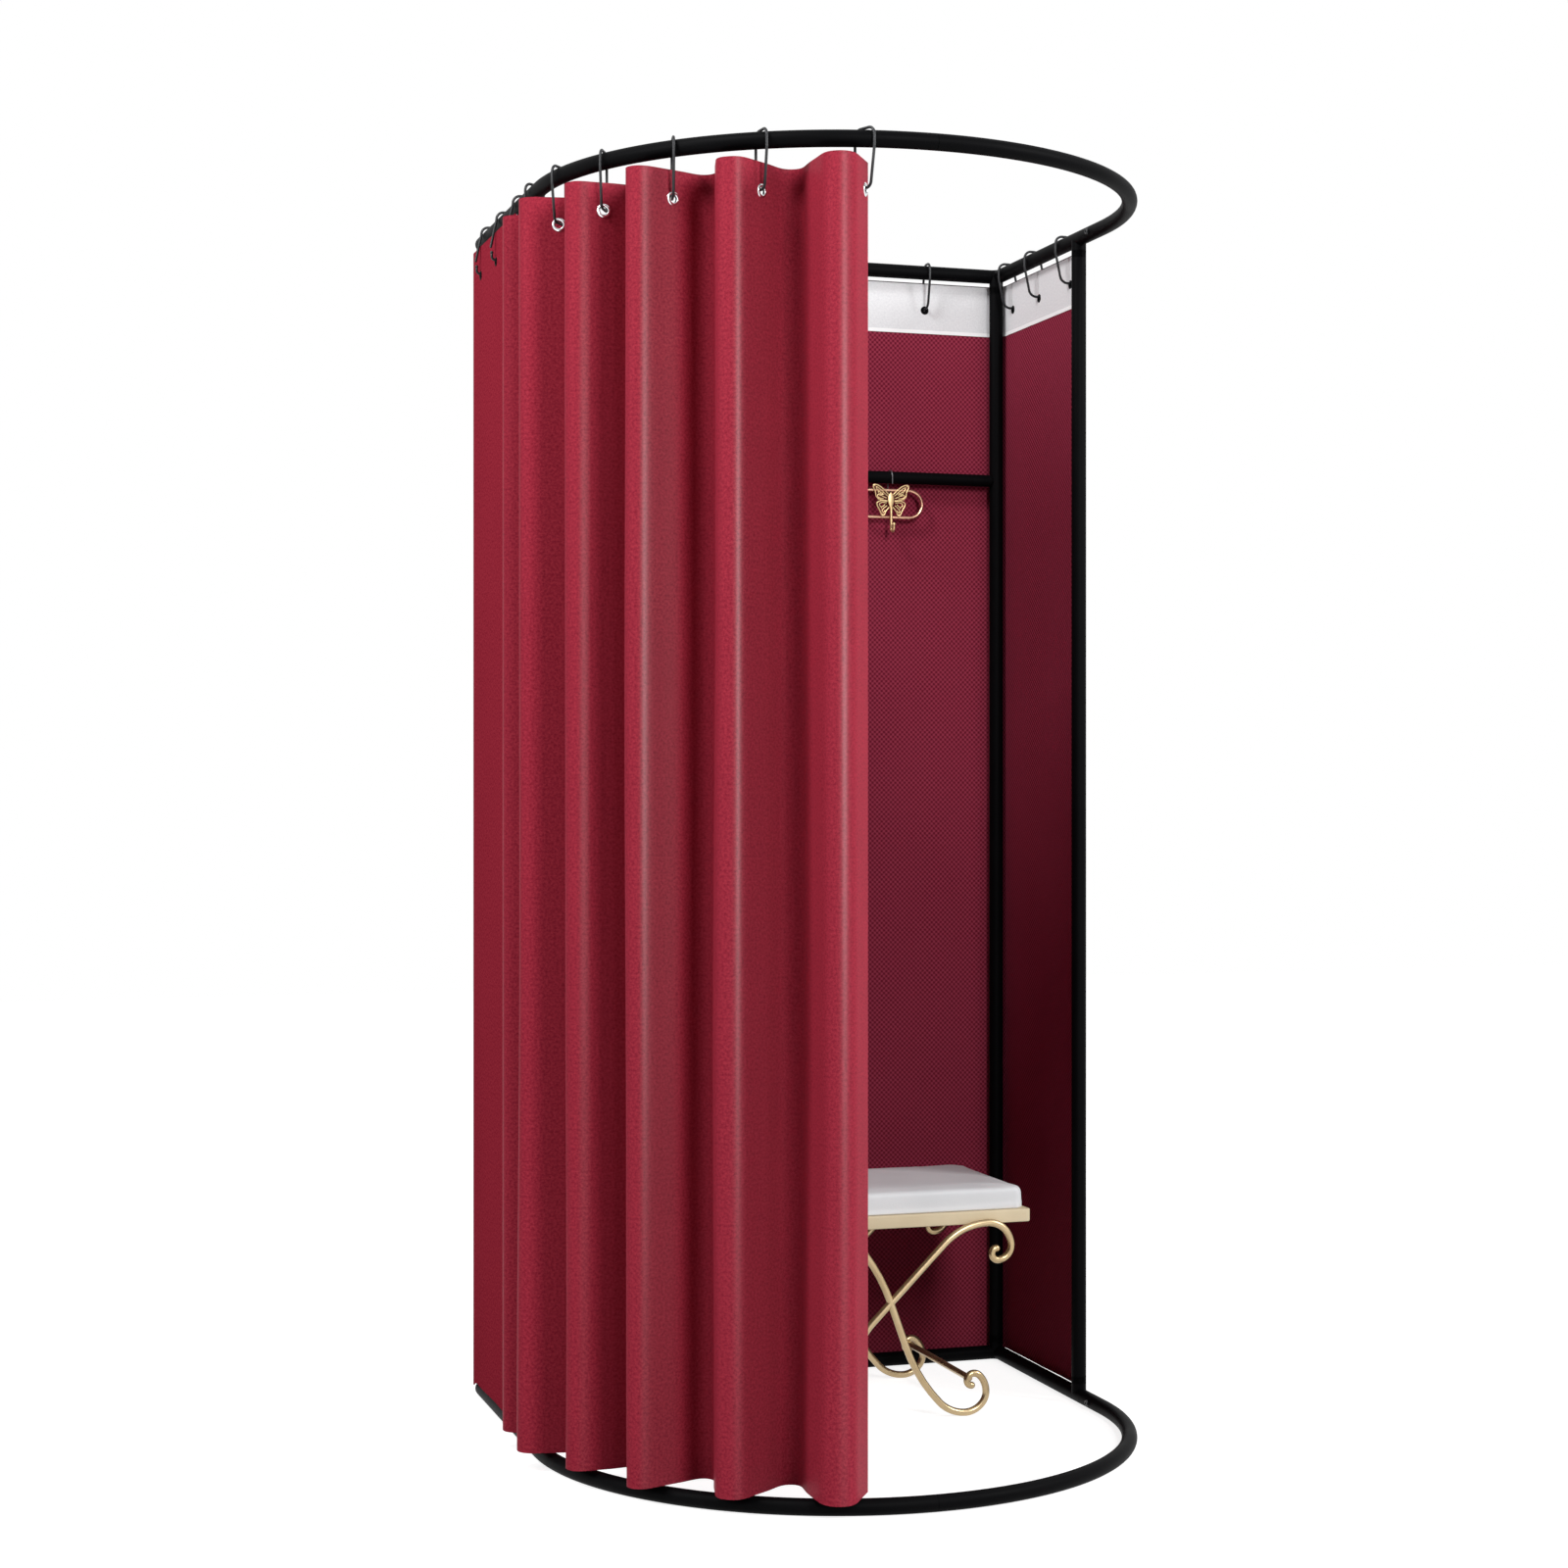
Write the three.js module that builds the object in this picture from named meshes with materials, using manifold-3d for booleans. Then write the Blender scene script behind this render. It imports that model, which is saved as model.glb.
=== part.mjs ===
// Portable fitting room: a ring of steel tube at the floor and at the head, joined by four posts,
// with a flat cloth wrap behind, a folded curtain on hooks in front, a garment rail and a stool.
// X runs to the right, Y to the rear and Z up. The origin is under the middle of the base back rail.

import * as THREE from 'three';
import { mergeVertices } from 'three/addons/utils/BufferGeometryUtils.js';
import Module from 'manifold-3d';

const wasm = await Module();
wasm.setup();

// Driving dimensions, in millimetres
const overallHeight = 2000;
const ringWidth = 962; // between the centre lines of the side rails
const sideRun = 466; // straight side, from the back rail to the start of the front arc
const cornerBend = 14; // centre line of the rear corners
const tubeAcross = 25; // frame tube, flat to flat
const tubeWall = 1.2;
const fitGap = 0.3; // between pieces that touch
const overrun = 1; // how far a cut runs past what it cuts

// Frame
const frameSides = 12;
const arcStepDeg = 7.5;
const facetStepDeg = 30; // as the facets of the tubes that cloth and wire go round
const quarterDeg = 90;
const halfTurnDeg = 180;
const railEnd = 395; // how far forward the welded side rails reach
const sidePostPlace = 368; // side posts, forward of the back rail
const collarHeight = 20;
const spigotLength = 40;
const spigotWall = 2;
const arcSpigotReach = 45;
const arcSpigotRoot = 25;
const weldBite = 0.3;
const arcJoinerDeg = 15;

// Screws that lock the front arcs
const screwPlace = 36; // from the end of the rail
const screwAcross = 6;
const screwLength = 10;
const screwHeadAcross = 10;
const screwHeadHeight = 3;
const screwSides = 12;

// Garment rail
const railDrop = 388; // below the overall height
const railAcross = 22;
const pegLength = 30;

// Cloth wrap and header tape
const clothThickness = 2;
const wrapHem = 20; // above the floor
const leftHem = 29;
const wrapDrop = 29; // below the overall height
const wrapFront = 357; // front edges of the side panels, forward of the back rail
const tapeThickness = 0.8;
const tapeHeight = 92;

// Curtain
const curtainHem = 30;
const curtainDrop = 44; // below the overall height
const grommetDrop = 42; // below the curtain's top edge
const curtainHookDeg = [-4.6, 11.4, 26.5, 42.7, 59.4, 77.3]; // round the front arc
const foldDepth = 61.4; // of the deepest fold, each side of the ring
const foldDepthShares = [0.684, 0.81, 0.665, 0.886, 0.772, 1];
const foldSteps = 7; // stretches of cloth on each side of a grommet
const grommetFlat = 13; // cloth lies flat this far from a grommet's middle
const grommetEase = 18; // and starts to curve again here
const leadingEdge = 16; // cloth past the last grommet
const seamGap = 0.4; // between two stretches of the curtain

// Grommets
const grommetAcross = 21;
const grommetBore = 11.6;
const grommetBarrel = 13.4;
const grommetFlange = 1.2;
const grommetSides = 12;

// Wire hooks
const wireAcross = 4.3;
const wireSides = 6;
const wireStepDeg = 30;
const hookRide = 0.3; // air round the tube
const hookShoulder = 12; // centre line of the bends over the tube
const hookSide = 16; // straight down each side, before the wire leans
const hookTipBend = 6;
const hookTipRise = 4;
const curtainHookRun = 14; // of the foot, past the middle of the ring
const curtainHookLeanDeg = 8;
const curtainHookFoot = 9; // bend at the foot of the long side
const curtainHookTail = 29; // end of the short side, below the middle of the ring
const curtainHookTwistDeg = 36;
const wrapHookRun = 17;
const wrapHookLeanDeg = 12;
const wrapHookFoot = 14;
const wrapHookTail = 42;
const grommetRest = 1.4; // air between a slanting wire and the grommet's crown
const eyeletBore = 8;
const eyeletRest = 0.5;
const eyeletDrop = 49.5; // below the top edge of the wrap
const leftHookPlaces = [78, 206, 337]; // on the side rails, forward of the back rail
const rightHookPlaces = [44, 165, 303];
const backHookPlace = 343; // outer hooks on the back rail, from its middle

// Stool
const stoolX = 137;
const stoolFront = 398; // front face of the board, forward of the back rail
const boardLength = 487;
const boardDepth = 290;
const boardThickness = 21.5;
const boardTop = 339.5;
const boardCorner = 8;
const cushionLength = 476;
const cushionDepth = 280;
const cushionThickness = 42;
const scrollAcross = 12;
const scrollSides = 8;
const scrollStepDeg = 15;
const scrollX = 126.5; // where the bars cross
const crossHeightShare = 0.6173; // of the height under the board
const scrollLap = 9.4; // top of the bars, over the underside of the board
const stretcherAcross = 11;

// Hanger
const hangerX = 270;
const hangerWire = 2.2;
const hangerRide = 0.6;
const hangerToe = 1.5;
const tailWire = 5;
const loopWire = 6;
const loopLength = 129;
const loopHeight = 55;
const loopDrop = 20.4; // top of the loop, below the middle of the garment rail
const loopSplit = 1;
const plateWidth = 69;
const plateHeight = 59;
const plateThickness = 2.5;
const plateDrop = 21.6; // middle of the plate, below the top of the loop
const tailDrop = 30; // from the foot of the plate to the foot of its hook
const tailBend = 7;
const tailRise = 4;

const ringRadius = ringWidth / 2;
const baseLine = tubeAcross / 2;
const topLine = overallHeight - tubeAcross / 2;
const cornerIn = cornerBend * (1 - Math.SQRT1_2); // rear posts, inside the corner of the rails
const arcBulge = ringRadius / Math.cos(THREE.MathUtils.degToRad(arcStepDeg / 2)) - ringRadius;
const railHeight = overallHeight - railDrop;
const wrapTop = overallHeight - wrapDrop;
const curtainTop = overallHeight - curtainDrop;
const grommetHeight = curtainTop - grommetDrop;
const loopTop = railHeight - loopDrop;
const plateMiddle = loopTop - plateDrop;
const tubeBore = tubeAcross - 2 * tubeWall;
const spigotAcross = tubeBore - 2 * fitGap;
const spigotBore = spigotAcross - 2 * spigotWall;
const collarReach = tubeAcross / 2 + collarHeight;
const tapeLine = tubeAcross / 2 + fitGap + tapeThickness / 2;
const clothLine = tapeLine + tapeThickness / 2 + fitGap + clothThickness / 2;
const curtainWireLevel = grommetHeight + grommetBore / 2 - grommetRest - wireAcross / 2;
const eyeletLevel = wrapTop - eyeletDrop;
const wrapWireLevel = eyeletLevel + eyeletBore / 2 - eyeletRest - wireAcross / 2;
const hangerBend = railAcross / 2 + fitGap + hangerWire / 2; // clear of rail and cloth
const scrollCentreFront = stoolFront + fitGap + scrollAcross / 2;
const scrollCentreRear = stoolFront - boardDepth - fitGap - scrollAcross / 2;

const across = new THREE.Vector3(1, 0, 0);
const rearward = new THREE.Vector3(0, 1, 0);
const upward = new THREE.Vector3(0, 0, 1);

// Finishes
const finish = (color, roughness, metalness) => ({ color, roughness, metalness });
const blackSteel = finish(0x111113, 0.45, 0.3);
const darkWire = finish(0x2a2b2d, 0.4, 0.7);
const brightMetal = finish(0xd0d3d6, 0.25, 0.9);
const crimsonCloth = finish(0x9e2a40, 0.85, 0);
const burgundyCloth = finish(0x5c1126, 0.9, 0);
const paleTape = finish(0xd7d7d9, 0.9, 0);
const whiteLeather = finish(0xd9dadd, 0.6, 0);
const paleGold = finish(0xc9b98a, 0.4, 0.5);
const antiqueGold = finish(0xa58d57, 0.35, 0.8);
const roseGold = finish(0xb5835a, 0.3, 0.85);

const fittingRoom = new THREE.Group();

function place(name, geometry, look) {
  const mesh = new THREE.Mesh(geometry, new THREE.MeshStandardMaterial(look));
  mesh.name = name;
  fittingRoom.add(mesh);
  return mesh;
}

// A closed mesh as a solid that can be joined and cut
function solid(geometry) {
  const bare = geometry.clone();
  bare.deleteAttribute('normal');
  bare.deleteAttribute('uv');
  const merged = mergeVertices(bare);
  const vertProperties = new Float32Array(merged.attributes.position.array);
  const triVerts = new Uint32Array(merged.index.array);
  return new wasm.Manifold(new wasm.Mesh({ numProp: 3, vertProperties, triVerts }));
}

function surface(body) {
  const { vertProperties, triVerts } = body.getMesh();
  const geometry = new THREE.BufferGeometry();
  geometry.setAttribute('position', new THREE.BufferAttribute(vertProperties, 3));
  geometry.setIndex(new THREE.BufferAttribute(triVerts, 1));
  return geometry;
}

// A many-sided section with a flat above and below, as the route bends
function section(width, sides, bore = 0) {
  const corners = (size) => {
    const radius = size / 2 / Math.cos(Math.PI / sides);
    return Array.from({ length: sides }, (_, k) => {
      const turn = Math.PI / 2 + ((k + 0.5) * 2 * Math.PI) / sides;
      return new THREE.Vector2(radius * Math.cos(turn), radius * Math.sin(turn));
    });
  };
  const shape = new THREE.Shape(corners(width));
  if (bore) shape.holes.push(new THREE.Path(corners(bore)));
  return shape;
}

const run = (length) => ({ length });
const turn = (degrees, radius) => ({ degrees, radius });

// Walks a plan of straight runs and round turns, and gives the corners of the many-sided line
// that lies round each turn. Turns to the left are positive, and a turn of no radius is a mitre.
function walk(start, headingDeg, moves, stepDeg) {
  const at = start.clone();
  const stops = [at.clone()];
  let heading = THREE.MathUtils.degToRad(headingDeg);
  const go = (length) => {
    at.x += length * Math.cos(heading);
    at.y += length * Math.sin(heading);
  };
  for (const move of moves) {
    if (move.length !== undefined) {
      go(move.length);
      continue;
    }
    const steps = move.radius ? Math.max(1, Math.round(Math.abs(move.degrees) / stepDeg)) : 1;
    const step = THREE.MathUtils.degToRad(move.degrees) / steps;
    const half = move.radius * Math.tan(Math.abs(step) / 2);
    for (let k = 0; k < steps; k++) {
      go(half);
      stops.push(at.clone());
      heading += step;
      go(half);
    }
  }
  stops.push(at.clone());
  return stops;
}

// A route through a list of stops in one plane. Each section stands in the plane that halves the
// turn, and is stretched across it as mitred tube is, so straight lengths keep their thickness.
class Route extends THREE.Curve {
  constructor(stops, side) {
    super();
    this.stops = stops;
    this.side = side;
  }

  getSpacedPoints() {
    return this.stops;
  }

  computeFrenetFrames() {
    const frames = { tangents: [], normals: [], binormals: [] };
    const last = this.stops.length - 1;
    const leg = (i) => this.stops[i + 1].clone().sub(this.stops[i]).normalize();
    for (let i = 0; i <= last; i++) {
      const before = leg(Math.max(i - 1, 0));
      const after = leg(Math.min(i, last - 1));
      const tangent = before.clone().add(after).normalize();
      const stretch = 1 / before.dot(tangent);
      frames.tangents.push(tangent);
      frames.normals.push(this.side.clone());
      frames.binormals.push(tangent.clone().cross(this.side).multiplyScalar(stretch));
    }
    return frames;
  }
}

function swept(shape, stops, side) {
  const steps = stops.length - 1;
  return new THREE.ExtrudeGeometry(shape, { steps, extrudePath: new Route(stops, side) });
}

const inPlan = (level) => (p) => new THREE.Vector3(p.x, p.y, level);
const inElevation = (p) => new THREE.Vector3(p.x, 0, p.y);

// A straight upright length of a section, from one level to another
function upright(shape, low, high, x = 0, y = 0) {
  const geometry = new THREE.ExtrudeGeometry(shape, { depth: high - low, bevelEnabled: false });
  return geometry.translate(x, y, low);
}

// A level length of a section along X, and one along Y
function levelX(shape, from, to, y, z) {
  return upright(shape, from, to).rotateY(Math.PI / 2).translate(0, y, z);
}

function levelY(shape, from, to, x, z) {
  return upright(shape, from, to).rotateX(-Math.PI / 2).translate(x, 0, z);
}

// The welded frames: a bent U of tube with a collar and spigot for each post, and two for the arc
const rearPostX = ringRadius - cornerIn;
const postPlaces = [
  ['rear_left_post', -rearPostX, -cornerIn],
  ['rear_right_post', rearPostX, -cornerIn],
  ['side_left_post', -ringRadius, -sidePostPlace],
  ['side_right_post', ringRadius, -sidePostPlace],
];

function railPlan(level, extra) {
  const start = new THREE.Vector2(-ringRadius, -railEnd - extra);
  const side = run(railEnd + extra - cornerBend);
  const corner = turn(-quarterDeg, cornerBend);
  const moves = [side, corner, run(ringWidth - 2 * cornerBend), corner, side];
  return walk(start, quarterDeg, moves, facetStepDeg).map(inPlan(level));
}

function arcSpigot(side, level) {
  const root = railEnd - arcSpigotRoot;
  const x = side * ringRadius;
  const end = railEnd + arcSpigotReach;
  const plugShape = section(tubeBore + 2 * weldBite, frameSides);
  const shaft = levelY(section(spigotAcross, frameSides), -end, -root, x, level);
  const plug = levelY(plugShape, -railEnd + weldBite, -root, x, level);
  const bore = levelY(section(spigotBore, frameSides), -end - overrun, -root + overrun, x, level);
  return solid(shaft).add(solid(plug)).subtract(solid(bore)).subtract(screwHole(side, level));
}

function rearFrame(level, up) {
  let frame = solid(swept(section(tubeAcross, frameSides), railPlan(level, 0), upward));
  for (const [, x, y] of postPlaces) {
    const collar = [level, level + up * collarReach].sort((a, b) => a - b);
    const spigot = [level + up * (tubeBore / 2), level + up * (collarReach + spigotLength)];
    spigot.sort((a, b) => a - b);
    frame = frame.add(solid(upright(section(tubeAcross, frameSides), ...collar, x, y)));
    frame = frame.add(solid(upright(section(spigotAcross, frameSides), ...spigot, x, y)));
  }
  const bore = swept(section(tubeBore, frameSides), railPlan(level, overrun), upward);
  frame = frame.subtract(solid(bore));
  return surface(frame.add(arcSpigot(-1, level)).add(arcSpigot(1, level)));
}

// The screws enter from the room's side, through the arc tube and its spigot
function screwHole(side, level) {
  const hole = section(screwAcross + 2 * fitGap, screwSides);
  const inner = side * (ringRadius - tubeAcross / 2 - overrun);
  const reach = [inner, side * ringRadius].sort((a, b) => a - b);
  return solid(levelX(hole, ...reach, -railEnd - screwPlace, level));
}

function screw(side) {
  const shank = screwAcross / 2;
  const head = screwHeadAcross / 2;
  const profile = [
    [0, -screwLength],
    [shank, -screwLength],
    [shank, 0],
    [head, 0],
    [head, screwHeadHeight / 2],
    [shank, screwHeadHeight],
    [0, screwHeadHeight],
  ].map(([r, h]) => new THREE.Vector2(r, h));
  return new THREE.LatheGeometry(profile, screwSides).rotateZ((side * Math.PI) / 2);
}

// The front arcs and the sleeves that join them at the middle
function frontArc(side, level) {
  const start = new THREE.Vector2(-ringRadius, -railEnd - fitGap);
  const lead = run(sideRun - railEnd - fitGap);
  const moves = [lead, turn(quarterDeg, ringRadius), run(-fitGap / 2)];
  const plan = walk(start, -quarterDeg, moves, arcStepDeg);
  const stops = plan.map((p) => new THREE.Vector3(side * -p.x, p.y, level));
  if (side > 0) stops.reverse();
  const tube = swept(section(tubeAcross, frameSides, tubeBore), stops, upward);
  return surface(solid(tube).subtract(screwHole(side, level)));
}

function arcJoiner(level) {
  const half = THREE.MathUtils.degToRad(arcJoinerDeg / 2);
  const start = new THREE.Vector2(
    -ringRadius * Math.sin(half),
    -sideRun - ringRadius * Math.cos(half),
  );
  const plan = walk(start, -arcJoinerDeg / 2, [turn(arcJoinerDeg, ringRadius)], arcStepDeg);
  return swept(section(spigotAcross, frameSides, spigotBore), plan.map(inPlan(level)), upward);
}

// The posts, and the pegs welded to the rear ones for the garment rail
const postLow = baseLine + collarReach + fitGap;
const postHigh = topLine - collarReach - fitGap;
const barBore = railAcross - 2 * tubeWall;

function plainPost(x, y) {
  return upright(section(tubeAcross, frameSides, tubeBore), postLow, postHigh, x, y);
}

function peggedPost(x, y) {
  const inward = -Math.sign(x);
  const ends = [x, x + inward * (tubeAcross / 2 + pegLength)].sort((a, b) => a - b);
  const tube = solid(upright(section(tubeAcross, frameSides), postLow, postHigh, x, y));
  const peg = solid(levelX(section(barBore - 2 * fitGap, frameSides), ...ends, y, railHeight));
  const bore = section(tubeBore, frameSides);
  return surface(
    tube.add(peg).subtract(solid(upright(bore, postLow - overrun, postHigh + overrun, x, y))),
  );
}

function hangingRail() {
  const tube = section(railAcross, frameSides, barBore);
  let bar = solid(levelX(tube, -rearPostX, rearPostX, -cornerIn, railHeight));
  const saddle = section(tubeAcross + 2 * fitGap, frameSides);
  const reach = [railHeight - railAcross, railHeight + railAcross];
  for (const x of [-rearPostX, rearPostX]) {
    bar = bar.subtract(solid(upright(saddle, ...reach, x, -cornerIn)));
  }
  return surface(bar);
}

// A strip of cloth that stands on a line in plan
function strip(line, thickness) {
  const edge = (side) =>
    line.map((p, i) => {
      const before = line[Math.max(i, 1)].clone().sub(line[Math.max(i, 1) - 1]).normalize();
      const next = Math.min(i, line.length - 2);
      const after = line[next + 1].clone().sub(line[next]).normalize();
      const along = before.clone().add(after).normalize();
      const reach = ((side * thickness) / 2) / before.dot(along);
      return new THREE.Vector2(p.x - along.y * reach, p.y + along.x * reach);
    });
  return new THREE.Shape([...edge(-1), ...edge(1).reverse()]);
}

// A round hole through cloth, at a place in plan and a heading
function hole(width, sides, x, y, headingDeg, level) {
  const reach = clothLine;
  const bore = levelX(section(width, sides), -reach, reach, 0, 0);
  return solid(bore.rotateZ(THREE.MathUtils.degToRad(headingDeg)).translate(x, y, level));
}

function wrapHoles(body, offset) {
  let cut = body;
  for (const [side, places] of [[-1, leftHookPlaces], [1, rightHookPlaces]]) {
    const x = side * (ringRadius + offset);
    for (const forward of places) {
      cut = cut.subtract(hole(eyeletBore, grommetSides, x, -forward, 0, eyeletLevel));
    }
  }
  for (const x of [-backHookPlace, 0, backHookPlace]) {
    cut = cut.subtract(hole(eyeletBore, grommetSides, x, offset, quarterDeg, eyeletLevel));
  }
  return surface(cut);
}

// The line round the two rear corners, from one length forward of the back rail
function wrapPlan(offset, forward) {
  const start = new THREE.Vector2(-ringRadius - offset, -forward);
  const side = run(forward - cornerBend);
  const corner = turn(-quarterDeg, cornerBend + offset);
  const moves = [side, corner, run(ringWidth - 2 * cornerBend), corner, side];
  return walk(start, quarterDeg, moves, facetStepDeg);
}

function backPanel() {
  const shape = strip(wrapPlan(clothLine, cornerBend), clothThickness);
  return wrapHoles(solid(upright(shape, wrapHem, wrapTop)), clothLine);
}

function sidePanel(side, hem) {
  const x = side * (ringRadius + clothLine);
  const line = [new THREE.Vector2(x, -wrapFront), new THREE.Vector2(x, -cornerBend - fitGap)];
  return wrapHoles(solid(upright(strip(line, clothThickness), hem, wrapTop)), clothLine);
}

function headerTape() {
  const shape = strip(wrapPlan(tapeLine, wrapFront), tapeThickness);
  return wrapHoles(solid(upright(shape, wrapTop - tapeHeight, wrapTop)), tapeLine);
}

// The curtain follows the ring as a wave. A hook's phase is a quarter turn past its crest.
const fullTurn = 2 * Math.PI;
const hookPhase = (i) => fullTurn * i + Math.PI / 2;
const alongHook = (i) => ringRadius * THREE.MathUtils.degToRad(curtainHookDeg[i]);

function between(values, at) {
  const low = Math.min(Math.max(Math.floor(at), 0), values.length - 2);
  return values[low] + (values[low + 1] - values[low]) * (at - low);
}

function curtainPoint(phase) {
  const hooks = curtainHookDeg.map((_, i) => alongHook(i));
  const last = foldDepthShares.length - 1;
  const along = between(hooks, (phase - Math.PI / 2) / fullTurn);
  const fold = Math.min(Math.max(phase / fullTurn, 0), last);
  const depth = foldDepth * between(foldDepthShares, fold);
  const still = phase < 0 ? clothLine : 0; // the first fold springs from the side panel
  const off = still + (depth - still) * Math.cos(phase);
  if (along < 0) return new THREE.Vector2(-ringRadius - off, -sideRun - along);
  const angle = along / ringRadius;
  const reach = ringRadius + off;
  return new THREE.Vector2(-reach * Math.cos(angle), -sideRun - reach * Math.sin(angle));
}

function grommetSeat(i) {
  const nudge = 0.01;
  const middle = curtainPoint(hookPhase(i));
  const ahead = curtainPoint(hookPhase(i) + nudge).sub(curtainPoint(hookPhase(i) - nudge));
  return { middle, along: ahead.clone().normalize(), speed: ahead.length() / (2 * nudge) };
}

function curtainLine(i) {
  const { middle, along, speed } = grommetSeat(i);
  const last = i === curtainHookDeg.length - 1;
  const ease = grommetEase / speed;
  const half = Math.PI - ease;
  const spread = (k) => ease + (half * k) / foldSteps;
  const before = Array.from({ length: foldSteps + 1 }, (_, k) =>
    curtainPoint(hookPhase(i) - spread(foldSteps - k)),
  );
  const after = Array.from({ length: foldSteps + 1 }, (_, k) =>
    curtainPoint(hookPhase(i) + spread(k)),
  );
  const flat = (reach) => middle.clone().addScaledVector(along, reach);
  if (last) return trimmed([...before, flat(-grommetFlat), flat(leadingEdge)], seamGap / 2, 0);
  const line = [...before, flat(-grommetFlat), flat(grommetFlat), ...after];
  return trimmed(line, seamGap / 2, seamGap / 2);
}

// Takes a little off each end of a line
function trimmed(line, start, end) {
  const shift = (from, to, amount) => from.addScaledVector(to.clone().sub(from).normalize(), amount);
  shift(line[0], line[1], start);
  shift(line[line.length - 1], line[line.length - 2], end);
  return line;
}

function curtainPanel(i) {
  const { middle, along } = grommetSeat(i);
  const square = THREE.MathUtils.radToDeg(Math.atan2(along.y, along.x)) + quarterDeg;
  const bore = grommetBarrel + 2 * fitGap;
  const cloth = solid(upright(strip(curtainLine(i), clothThickness), curtainHem, curtainTop));
  const cut = hole(bore, grommetSides, middle.x, middle.y, square, grommetHeight);
  return surface(cloth.subtract(cut));
}

function grommet() {
  const face = clothThickness / 2 + fitGap;
  const outer = face + grommetFlange;
  const profile = [
    [grommetBore, -outer],
    [grommetAcross, -outer],
    [grommetAcross, -face],
    [grommetBarrel, -face],
    [grommetBarrel, face],
    [grommetAcross, face],
    [grommetAcross, outer],
    [grommetBore, outer],
    [grommetBore, -outer],
  ].map(([width, h]) => new THREE.Vector2(width / 2, h));
  return new THREE.LatheGeometry(profile, grommetSides);
}

// A wire hook, drawn with the ring's middle at zero. Both sides stand clear of the tube, which
// looks wider to a hook that is twisted on it, and lean out and in as they go down.
const curtainHook = {
  bulge: arcBulge,
  twist: curtainHookTwistDeg,
  lean: curtainHookLeanDeg,
  tailLean: 0,
  tail: curtainHookTail,
  foot: curtainHookFoot,
  past: curtainHookRun,
  level: curtainWireLevel,
};
const wrapHook = {
  bulge: 0,
  twist: 0,
  lean: wrapHookLeanDeg,
  tailLean: wrapHookLeanDeg,
  tail: wrapHookTail,
  foot: wrapHookFoot,
  past: wrapHookRun,
  level: wrapWireLevel,
};

function hook(longSide, kind) {
  const reach = hookRide + wireAcross / 2;
  const crown = tubeAcross / 2 + reach;
  const twist = THREE.MathUtils.degToRad(kind.twist);
  const skew = (wireAcross / 2) * Math.tan(twist);
  const half = (tubeAcross / 2 + kind.bulge) / Math.cos(twist) + skew + reach;
  const spring = crown - hookShoulder; // where the two sides begin
  const lean = THREE.MathUtils.degToRad(kind.lean);
  const tailLean = THREE.MathUtils.degToRad(kind.tailLean);
  const tail = (spring + kind.tail) / Math.cos(tailLean);
  const bend = kind.foot * (1 - Math.sin(lean));
  const slant = (spring - hookSide - bend - (kind.level - topLine)) / Math.cos(lean);
  const middle = half - slant * Math.sin(lean) - kind.foot * Math.cos(lean); // end of the bend
  const start = new THREE.Vector2(-half - tail * Math.sin(tailLean), -kind.tail);
  const plan = walk(start, quarterDeg - kind.tailLean, [
    run(tail),
    turn(kind.tailLean, 0),
    turn(-quarterDeg, hookShoulder),
    run(2 * (half - hookShoulder)),
    turn(-quarterDeg, hookShoulder),
    run(hookSide),
    turn(-kind.lean, 0),
    run(slant),
    turn(kind.lean - quarterDeg, kind.foot),
    run(middle + kind.past),
    turn(-quarterDeg, hookTipBend),
    run(hookTipRise),
  ], wireStepDeg);
  const stops = plan.map((p) => new THREE.Vector3(longSide * p.x, 0, p.y));
  if (longSide < 0) stops.reverse();
  return swept(section(wireAcross, wireSides), stops, rearward);
}

function hang(name, longSide, kind, x, y, headingDeg) {
  const mesh = place(name, hook(longSide, kind), darkWire);
  mesh.position.set(x, y, topLine);
  mesh.rotation.z = THREE.MathUtils.degToRad(headingDeg);
}

// Stool: a board between two leg frames of crossing scroll bars, with a crowned cushion
function seatBoard() {
  const [a, b, r] = [boardLength / 2, boardDepth / 2, boardCorner];
  const shape = new THREE.Shape();
  shape.moveTo(-a + r, -b).lineTo(a - r, -b).quadraticCurveTo(a, -b, a, -b + r);
  shape.lineTo(a, b - r).quadraticCurveTo(a, b, a - r, b);
  shape.lineTo(-a + r, b).quadraticCurveTo(-a, b, -a, b - r);
  shape.lineTo(-a, -b + r).quadraticCurveTo(-a, -b, -a + r, -b);
  const settings = { depth: boardThickness, bevelEnabled: false, curveSegments: 3 };
  return new THREE.ExtrudeGeometry(shape, settings);
}

const cushionCrownShare = 0.12; // of the thickness, lost from the middle to the edge
const cushionPullShare = 0.004; // of each side, drawn in between the corners
const cushionSwellShare = 0.012; // of each side, swollen at half height

function cushion() {
  const box = new THREE.BoxGeometry(cushionLength, cushionDepth, cushionThickness, 10, 6, 4);
  const at = box.attributes.position;
  for (let i = 0; i < at.count; i++) {
    const a = (2 * at.getX(i)) / cushionLength;
    const b = (2 * at.getY(i)) / cushionDepth;
    const h = (2 * at.getZ(i)) / cushionThickness;
    const edge = Math.max(a ** 6, b ** 6);
    const swell = cushionSwellShare * (h * h);
    const x = a * (1 - cushionPullShare * (1 - b * b) - swell);
    const y = b * (1 - cushionPullShare * (1 - a * a) - swell);
    const top = h > 0 ? h * (1 - 2 * cushionCrownShare * edge) : h;
    at.setXYZ(i, (x * cushionLength) / 2, (y * cushionDepth) / 2, (top * cushionThickness) / 2);
  }
  return surface(solid(box));
}

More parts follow.
